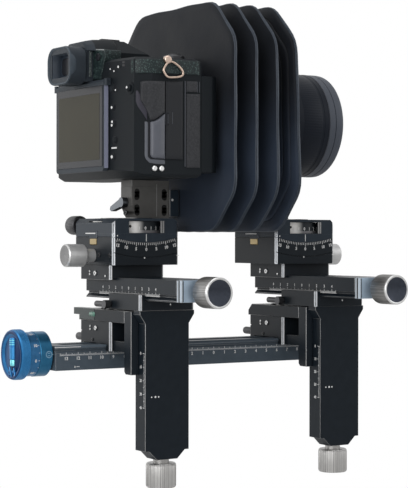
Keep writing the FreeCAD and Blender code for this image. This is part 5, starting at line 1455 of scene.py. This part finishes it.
def camera_finder():
    """Shoulder, trim and crown of the finder, and the dioptre button at its side."""
    outline = [(8.7, 239.6), (12.6, 218.4), (27.8, 216.9), (35.4, 234.8), (34.8, 239.0), (13.5, 241.4)]
    shoulder = Shape().loft([[Vector((x, y, z)) for x, z in reversed(outline)]
                             for y in (BACK_Y - 0.8, BACK_Y + 13.0)])
    camera_piece(shoulder, "camera_finder_shoulder", SPECKLED, bevel=0.5)
    strip = Shape().box((16.2, -111.6, 220.0), (16.8, -109.5, 239.2))
    camera_piece(strip, "camera_finder_strip", PALE_SPECKLE, bevel=0.15)
    face = BACK_Y - 0.85
    trim = Print()
    trim.bar((11.9, face, 229.2), Vector((3.7, 0, -20.8)).normalized(), -Y, 20.0, 2.2)
    trim.piece("camera_finder_trim", "rear_swing_stage", PALE_SPECKLE)
    line = Print()
    line.bar((23.6, face, 239.9), Vector((1.0, 0, -0.10)).normalized(), -Y, 21.0, 0.8)
    line.piece("camera_finder_line", "rear_swing_stage", WORN_INK)
    knob = Shape().turned([(-109.5, 2.4), (-109.0, 2.9), (-107.0, 2.9)], (25.3, 0, 234.2), "y", 40)
    camera_piece(knob, "camera_dioptre_button", DARK_GLASS, bevel=0.15)
    stations = ((-114.7, 17.6, 11.2, 239.6, 246.0), (-113.4, 19.4, 12.4, 239.4, 247.2),
                (-107.0, 22.0, 14.0, 239.2, 248.4), (-98.0, 23.0, 14.6, 239.0, 248.9),
                (-90.0, 23.2, 14.6, 239.0, 248.9))
    sections = []
    for y, wide, narrow, low, high in stations:
        shoulder_x, shoulder_z = (wide + narrow) / 2 + 1.0, (low + high) / 2 + 0.8
        corners = ((-wide, low), (-shoulder_x, shoulder_z), (-narrow, high),
                   (narrow, high), (shoulder_x, shoulder_z), (wide, low))
        sections.append([Vector((x, y, z)) for x, z in corners])
    camera_piece(Shape().loft(sections), "camera_finder_crown", SHELL, bevel=0.8)


EYECUP_Z = 228.6


def eyecup_ring(y, width, height, radius, steps=7):
    """Rounded rectangle across the finder's axis."""
    outline = rounded_outline(width, height, radius, steps)
    return [Vector((a, y, EYECUP_Z + b)) for a, b in reversed(outline)]


def eyecup_soft():
    """Soft flared rim over the eyecup, with a ribbed bellow behind it and the finder's glass inside."""
    rings = [eyecup_ring(-120.6, 25.0, 16.2, 5.4), eyecup_ring(-127.0, 27.0, 18.2, 6.0)]
    stations = [(-127.4, 17.0, 12.6), (-128.6, 17.8, 13.2), (-128.8, 18.6, 14.0), (-127.2, 19.0, 14.4),
                (-122.8, 18.4, 13.9), (-120.6, 17.2, 12.8), (-119.4, 18.0, 13.5), (-117.4, 17.8, 13.3),
                (-115.6, 16.4, 12.2)]
    for y, wide, high in stations:
        rings.append(eyecup_ring(y, 2 * wide, 2 * high, min(wide, high) * 0.72))
    camera_piece(Shape().loft(rings), "camera_eyecup_rubber", RUBBER, smooth=1.3)
    glass = Shape().loft([eyecup_ring(y, 20.0, 13.0, 3.5, 5) for y in (-120.9, -119.6)])
    glass.piece("camera_finder_glass", "rear_swing_stage", [DARK_GLASS], "lens_coated", bevel=0.3)


def camera_screen_face():
    """Glass over the screen, the panel that shows in it, and the screen's paler right side."""
    left, right, low, high, face = -36.9, 40.1, 148.5, 216.5, -111.9
    border = Shape().box((left + 2.2, face - 0.35, low + 3.4), (right - 1.6, face + 0.4, high - 4.4))
    border.piece("screen_glass", "display", [DARK_GLASS], "screen_gloss", bevel=0.3)
    panel = Shape().box((left + 5.4, face - 0.50, low + 8.6), (right - 5.8, face - 0.1, high - 10.0))
    panel.piece("screen_panel", "display", [SCREEN], "screen_gloss", bevel=0.12)
    edge = Shape().box((right - 0.35, face + 0.6, low + 2.2), (right + 0.28, face + 3.9, high - 2.4))
    edge.piece("screen_side_trim", "display", [SCREEN_SIDE], "screen_gloss", bevel=0.2)


def camera_front():
    """Mount ring, its screws and the leather on the side that faces the lens."""
    front, screw_circle = -49.0, 33.6
    ring = Shape()
    section = [(-4.0, 36.1), (5.4, 36.1), (6.0, 35.4), (6.0, 31.3), (-4.0, 31.3)]
    ring.hoop(section, (0, front, AXIS_HEIGHT), "y", 72)
    ring.piece("camera_mount_ring", "rear_swing_stage", [SILVER], "silver_anodised")
    screws = []
    for k in range(4):
        angle = math.tau * (k + 0.5) / 4
        screws.append((screw_circle * math.cos(angle), front + 6.0,
                       AXIS_HEIGHT + screw_circle * math.sin(angle)))
    screw_set("camera_mount_screws", "rear_swing_stage", "y", 1, screws, MOUNT_SCREW)
    leather = Shape()
    for x0, x1 in ((-64.0, -38.5), (38.5, 53.5)):
        leather.box((x0, front - 0.5, 152.0), (x1, front + 0.55, 216.0))
    camera_piece(leather, "camera_front_grain", LEATHER, bevel=0.3)


def camera_left():
    """Socket doors on the left side."""
    doors = Shape()
    for low, high in ((160.0, 182.0), (184.5, 208.0)):
        doors.box((-66.45, -86.0, low), (-65.0, -62.0, high))
    camera_piece(doors, "camera_socket_doors", LEATHER, bevel=0.4)


# Bellows

# Half size and corner of the section, with how much of the hang it takes
MOUTH = (46.0, 14.0, 0.0)
VALLEY = (60.0, 24.0, 0.5)
RIDGE = (86.0, 30.0, 1.0)
RIDGE_RIM, RIDGE_BEAD = 1.3, 0.45
RIDGES = (-25.3, -6.3, 12.7, 31.7)
VALLEYS = (-15.8, 3.2, 22.2)
BELLOWS_REAR, BELLOWS_FRAME, BELLOWS_FRONT = -43.3, -27.1, 46.5
BELLOWS_LEAN = 3.0

# Bodies from the camera to the lens board, and where along Y the cloth passes from each joint to the next
CLOTH_BODIES = ("rear_swing_stage", "rear_tilt_stage", "rear_shift_frame", "rear_lift_column",
                "rear_focus_carriage", "rail", "front_focus_carriage", "front_lift_column",
                "front_shift_frame", "front_tilt_stage", "front_swing_stage")
CLOTH_JOINTS = (-24.0, -21.95, -19.9, -17.85, -15.8, 3.2, 22.2, 24.25, 26.3, 28.35, 30.4)


def cloth_outline(half, corner, steps=6):
    """Square section with cut corners whose bends are softened, counter-clockwise seen from +Y."""
    points = []
    inner = half - corner
    bend = corner * 0.32
    for quarter in range(4):
        turn = Matrix.Rotation(math.pi / 2 * quarter, 2)
        first, second = Vector((half, inner)), Vector((inner, half))
        along = (second - first).normalized()
        for start, centre, end in ((first - Vector((0, bend)), first, first + along * bend),
                                   (second - along * bend, second, second - Vector((bend, 0)))):
            for k in range(steps + 1):
                t = k / steps
                points.append(turn @ (start * (1 - t) ** 2 + centre * 2 * t * (1 - t) + end * t * t))
    return points


def even_outline(half, corner, count=112):
    """The outline again with points spaced evenly, so that rings of any size match."""
    points = cloth_outline(half, corner)
    points.append(points[0])
    lengths = [0.0]
    for a, b in zip(points, points[1:]):
        lengths.append(lengths[-1] + (b - a).length)
    result, seek = [], 0
    for k in range(count):
        target = lengths[-1] * k / count
        while lengths[seek + 1] < target:
            seek += 1
        share = (target - lengths[seek]) / (lengths[seek + 1] - lengths[seek])
        result.append(points[seek].lerp(points[seek + 1], share))
    return result


def cloth_profile():
    """Stations from the camera to the lens board: Y, half size, corner, hang and the slot up to there."""
    stations = [(y,) + MOUTH + (0,) for y in (BELLOWS_REAR, -35.3, BELLOWS_FRAME)]
    starts = [(BELLOWS_FRAME,) + MOUTH] + [(y,) + VALLEY for y in VALLEYS]
    ends = [(y,) + VALLEY for y in VALLEYS] + [(BELLOWS_FRONT - 4.0,) + MOUTH]
    half, corner, hang = RIDGE
    for ridge, start, end in zip(RIDGES, starts, ends):
        stations += fold(start, (ridge - RIDGE_RIM,) + RIDGE, 0.8)
        for share, bead in ((-0.72, RIDGE_BEAD), (0.0, -0.35), (0.72, RIDGE_BEAD), (1.0, 0.0)):
            stations.append((ridge + RIDGE_RIM * share, half + bead, corner, hang, 1))
        stations += fold((ridge + RIDGE_RIM,) + RIDGE, end, -0.8)
    return stations + [(BELLOWS_FRONT,) + MOUTH + (0,)]


def fold(start, end, belly):
    """Stations across one wall, which bellies out a little: the start is left out, the end is given."""
    steps = 8
    outward = 1 if end[1] > start[1] else -1
    made = []
    for k in range(1, steps + 1):
        t = k / steps
        y, half, corner, hang = (a + (b - a) * t for a, b in zip(start, end))
        made.append((y + math.sin(math.pi * t) * belly * outward * 0.4, half, corner, hang, 0))
    return made


def cloth_ring(station):
    """Points of one ring. Hang makes it rise above, sag below and, towards the front, lean back."""
    y, half, corner, hang = station[:4]
    share = min(1.0, max(0.0, (y - RIDGES[0]) / (RIDGES[-1] - RIDGES[0])))
    lean = BELLOWS_LEAN * share ** 2 * hang
    ring = []
    for a, b in even_outline(half, corner):
        stretch = 1.3 * hang if b > 0 else 1.2 * hang
        wave = 0.35 * hang * math.sin(a * 0.13 + y * 0.4) * math.sin(b * 0.11 - y * 0.3)
        reach = 1 + wave / half
        z = AXIS_HEIGHT + b * reach + stretch * b / half
        ring.append(Vector((a * reach, y - lean * b / half, z)))
    return ring


def cut_at(stations, y):
    """Adds a station at this Y, unless there is one."""
    if any(abs(station[0] - y) < 1e-6 for station in stations):
        return
    for k, (first, second) in enumerate(zip(stations, stations[1:])):
        if first[0] < y < second[0]:
            t = (y - first[0]) / (second[0] - first[0])
            half, corner, hang = (first[j] + (second[j] - first[j]) * t for j in (1, 2, 3))
            stations.insert(k + 1, (y, half, corner, hang, second[4]))
            return


def add_bellows():
    """End folds that ride with the camera and the lens board, and a stretch of cloth for each joint."""
    stations = cloth_profile()
    for y in CLOTH_JOINTS:
        cut_at(stations, y)
    places = [next(i for i, s in enumerate(stations) if abs(s[0] - y) < 1e-6) for y in CLOTH_JOINTS]
    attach(cloth_stretch(stations[:places[0] + 1], "bellows_rear_fold"), CLOTH_BODIES[0])
    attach(cloth_stretch(stations[places[-1]:], "bellows_front_fold"), CLOTH_BODIES[-1])
    for k, (first, last) in enumerate(zip(places, places[1:])):
        piece = cloth_stretch(stations[first:last + 1], "bellows_%02d" % (k + 1))
        bend_across(piece, k, cloth_ring(stations[first]), cloth_ring(stations[last]))


def cloth_stretch(stations, name):
    """One piece of the bellows through these stations."""
    shape = Shape()
    for before, after in zip(stations, stations[1:]):
        pair = [list(reversed(cloth_ring(station))) for station in (before, after)]
        shape.loft(pair, after[4], capped=False)
    mesh = shape.mesh(name, (CLOTH, CLOTH_EDGE))
    join_rings(mesh)
    piece = add_object(name, mesh)
    mesh.shade_smooth()
    mesh.set_sharp_from_angle(angle=math.radians(50))
    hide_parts("bellows")
    thick = piece.modifiers.new("cloth", "SOLIDIFY")
    thick.thickness = 0.7 * MM
    thick.offset = -1.0
    return piece


def bend_across(piece, k, first, last):
    """Takes the lean of the end rings and the span between them for the stretch across one joint, and bakes
    the stretch's place into its mesh.
    """
    lean = (ring_lean(first) + ring_lean(last)) / 2

    def depth(point):
        return point.y + lean * point.z

    start = max(depth(p) for p in first) - lean * AXIS_HEIGHT
    end = min(depth(p) for p in last) - lean * AXIS_HEIGHT
    reach = (end - start) / (1 + lean ** 2)
    CLOTH_BODIES[k + 1]
    start * MM
    (start + reach) * MM
    (AXIS_HEIGHT + lean * reach) * MM
    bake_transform(piece)


def ring_lean(ring):
    """Millimetres that a ring of the cloth leans back for each millimetre of height."""
    top, low = max(ring, key=lambda p: p.z), min(ring, key=lambda p: p.z)
    return (low.y - top.y) / (top.z - low.z)


def join_rings(mesh):
    """Merges the rings that neighbouring strips share."""
    work = bmesh.new()
    work.from_mesh(mesh)
    bmesh.ops.remove_doubles(work, verts=work.verts, dist=0.00001)
    work.to_mesh(mesh)
    work.free()


# Lens

LENS_RADIUS = 42.0
LENS_SKIN = LENS_RADIUS - 0.4


def lens_details():
    """Grip ring, fine bands, aperture figures and the paler front ring on the barrel."""
    lens_grip()
    bands = Shape()
    for low, high, r in ((60.0, 62.2, 42.25), (89.0, 89.6, 42.15)):
        lens_band(bands, [(low, r - 0.3), (low + 0.2, r), (high - 0.2, r), (high, r - 0.3)])
    bands.piece("lens_bands", "front_swing_stage", [LENS_BLACK], "lens_black")
    rim = Shape()
    lens_band(rim, [(94.3, 41.9), (94.5, 42.15), (99.8, 42.15), (100.0, 41.9)])
    lens_band(rim, [(100.3, 41.9), (100.5, 42.2), (104.8, 42.2), (106.8, 42.0), (107.3, 41.8)])
    lens_band(rim, [(93.8, 42.0), (93.9, 42.25), (94.15, 42.25), (94.25, 42.0)], slot=1)
    rim.piece("lens_front_ring", "front_swing_stage", [LENS_RING, SEAM], "lens_black")
    marks = Print()
    for k, number in enumerate((22, 16, 11, 8, 5, 4, 5, 8, 11, 16, 22)):
        angle = math.radians(90 + (k - 5) * 9)
        out = Vector((math.cos(angle), 0, math.sin(angle)))
        place = Vector((0, 65.4, AXIS_HEIGHT)) + out * (LENS_RADIUS + 0.02)
        marks.figure(str(number), place, -Y, out, 1.9)
        marks.bar(place + Y * 2.2, Y, out, 1.3, 0.25)
    marks.piece("lens_scale", "front_swing_stage")
    stations = [(101.4, 36.4), (103.2, 37.6), (104.0, 37.2), (104.8, 37.9), (105.6, 37.5), (106.6, 38.1)]
    trim = Shape()
    trim.hoop([(along, r + 0.35) for along, r in stations] + stations[::-1], (0, 0, AXIS_HEIGHT), "y")
    trim.piece("lens_front_trim", "front_swing_stage", [LENS_BLACK], "lens_black")


def lens_band(shape, profile, slot=0):
    """Raised band round the barrel, down to just below its skin."""
    inside = [(profile[-1][0], LENS_SKIN), (profile[0][0], LENS_SKIN)]
    shape.hoop(profile + inside, (0, 0, AXIS_HEIGHT), "y", slot=slot)


def lens_grip():
    """Fine ribs of the focus ring."""
    sides = 480
    across, up = sideways("y")
    wave = [0.0, 1.0, 1.0, 0.0]
    rings = []
    for along, lift in ((69.0, 0.0), (69.6, 1.0), (86.4, 1.0), (87.0, 0.0)):
        middle = Vector((0, along, AXIS_HEIGHT))
        radii = [LENS_RADIUS + 0.03 + lift * (0.10 + 0.08 * wave[k % 4]) for k in range(sides)]
        rings.append([middle + (across * a + up * b) * r for (a, b), r in zip(circle(sides), radii)])
    for along in (87.0, 69.0):
        rings.append(ring_points((0, 0, AXIS_HEIGHT), "y", along, LENS_SKIN, sides))
    ribs = Shape().loft(rings + rings[:1], capped=False)
    ribs.piece("lens_focus_ring", "front_swing_stage", [LENS_BLACK], "lens_black", smooth=0.9)


def board_details():
    """Screws near the lens board's corners."""
    face, apart = 50.5, 40.0
    places = [(x, face, AXIS_HEIGHT + z) for x in (-apart, apart) for z in (-apart, apart)]
    screw_set("lens_board_screws", "front_swing_stage", "y", 1, places, BOARD_SCREW)


# Floor, lights and background

FLOOR_DROP = 250.0


def add_floor():
    """Pale floor, which turns white far out for the camera, where it would meet the background."""
    f = Finish("floor_paper", Roughness=0.85, Specular_IOR_Level=0.1)
    fibre = f.noise(60, 4.0)
    f.set("Base Color", f.mix(fibre, tint(0.84, 0.84, 0.835), tint(0.88, 0.88, 0.875)))
    x, y = f.along("x"), f.along("y")
    far = ((x * x + y * y) ** 0.5).step(0.42, 0.85)
    seen = f.node("ShaderNodeLightPath", {}, {}, "Is Camera Ray")
    white = f.node("ShaderNodeEmission", {}, {"Color": grey(1.0), "Strength": 1.0})
    paper = Socket(f, f.shader.outputs[0])
    mixed = f.node("ShaderNodeMixShader", {}, {0: far * seen, 1: paper, 2: white})
    output = next(n for n in f.tree.nodes if n.type == "OUTPUT_MATERIAL")
    f.feed(output.inputs["Surface"], mixed)
    sheet = Shape().loft([ring_points((0, 0, -FLOOR_DROP), "z", 0, radius, 96)
                          for radius in (6000.0, 2000.0, 1000.0, 500.0, 1.0)], capped=False)
    add_object("floor", sheet.mesh("floor", [f.material]))


def area_light(name, place, aim, size, power):
    data = bpy.data.lights.new(name, "AREA")
    data.shape = "RECTANGLE"
    data.size, data.size_y = size
    data.energy = power
    lamp = add_object(name, data)
    lamp.location = place
    lamp.rotation_euler = (Vector(aim) - Vector(place)).to_track_quat("-Z", "Y").to_euler()
    lamp.visible_camera = False


def add_lights():
    """Soft boxes overhead, at the left, behind the camera's left shoulder and at the front."""
    aim = (0.0, -0.02, 0.12)
    area_light("overhead_softbox", (0.1, -0.2, 1.7), aim, (1.4, 1.4), 11)
    area_light("left_softbox", (-1.50, -1.0, 0.35), aim, (1.1, 1.1), 5.5)
    area_light("shoulder_softbox", (0.95, -1.55, 0.60), aim, (1.0, 1.2), 15)
    area_light("front_softbox", (0.9, 1.6, 0.8), aim, (1.0, 1.0), 7)


def add_surround():
    """White for the camera, in reflections and through glass. The light it gives is half as strong."""
    world = bpy.data.worlds.new("surround")
    bpy.context.scene.world = world
    world.use_nodes = True
    nodes = Nodes(world.node_tree)
    camera, glossy, clear = (nodes.node("ShaderNodeLightPath", {}, {}, "Is %s Ray" % kind)
                             for kind in ("Camera", "Glossy", "Transmission"))
    seen = camera.math("MAXIMUM", glossy).math("MAXIMUM", clear)
    back = world.node_tree.nodes["Background"]
    nodes.feed(back.inputs["Color"], grey(1.0))
    nodes.feed(back.inputs["Strength"], seen * 0.5 + 0.5)
    bpy.context.scene.view_settings.view_transform = "Standard"


# Everything together

def dress_nodes():
    """Finish of every carried-over node, but for the lift and shift knobs, which dress_knob does."""
    blocks = ("carriage", "arm", "column_head", "shift_block", "tilt_base")
    plain = ("lift_guide", "column", "shift_bar")
    for side in STANDARDS:
        for node in blocks:
            dress(side + "_" + node, BLACK_BLOCK, 0.25)
        for node in ("tilt_rocker", "swing_housing"):
            dress(side + "_" + node, HOUSING_BLACK, 0.25)
        for node in plain:
            dress(side + "_" + node, BLACK, 0.12 if node == "shift_bar" else 0.3)
        dress(side + "_turntable", TURNTABLE)
        dress(side + "_shift_end_plate", PLATE_METAL, 0.2)
        dress(side + "_tilt_rack", BRASS)
        for node in ("lift_screw", "shift_screw"):
            dress(side + "_" + node, STEEL)
        for node in ("carriage_lock", "head_lever", "swing_knob"):
            dress(side + "_" + node, BLACK_STEEL)
        dress(side + "_tilt_knob", SATIN)
    dress("rail_beam", RAIL_BLACK, 0.3)
    dress("focus_collar", BLUE)
    dress("focus_dial", DARK_BLUE)
    dress("focus_screw", STEEL)
    dress("focus_knob", KNOB_BLUE)
    dress("focus_crank", LIGHT_BLUE)
    dress("spirit_level", LEVEL_BLOCK)
    dress("camera_riser", RISER_BLACK_PAINTED_LIGHT, 0.25)
    dress("clamp_jaw", JAW_BLACK, 0.2)
    dress("clamp_lever", LEVER_METAL)
    dress("camera_plate", RISER_BLACK_PAINTED_LIGHT, 0.15)
    dress("camera_body", SHELL)
    dress("camera_screen", SHELL)
    dress("lens_board", BLACK, 0.2)
    dress("lens_bracket", BLACK, 0.2)
    dress("lens_barrel", LENS_BLACK)
    dress("lens_glass", COATING)


add_camera()
add_floor()
add_lights()
add_surround()
dress_nodes()
rail_details()
focus_drive_details()
for side in STANDARDS:
    corner_seams(side)
    carriage_details(side)
    column_details(side)
    bar_details(side)
    stage_details(side)
spirit_vial()
riser_details()
camera_back()
camera_side()
camera_top()
camera_finder()
eyecup_soft()
camera_screen_face()
camera_front()
camera_left()
add_bellows()
lens_details()
board_details()
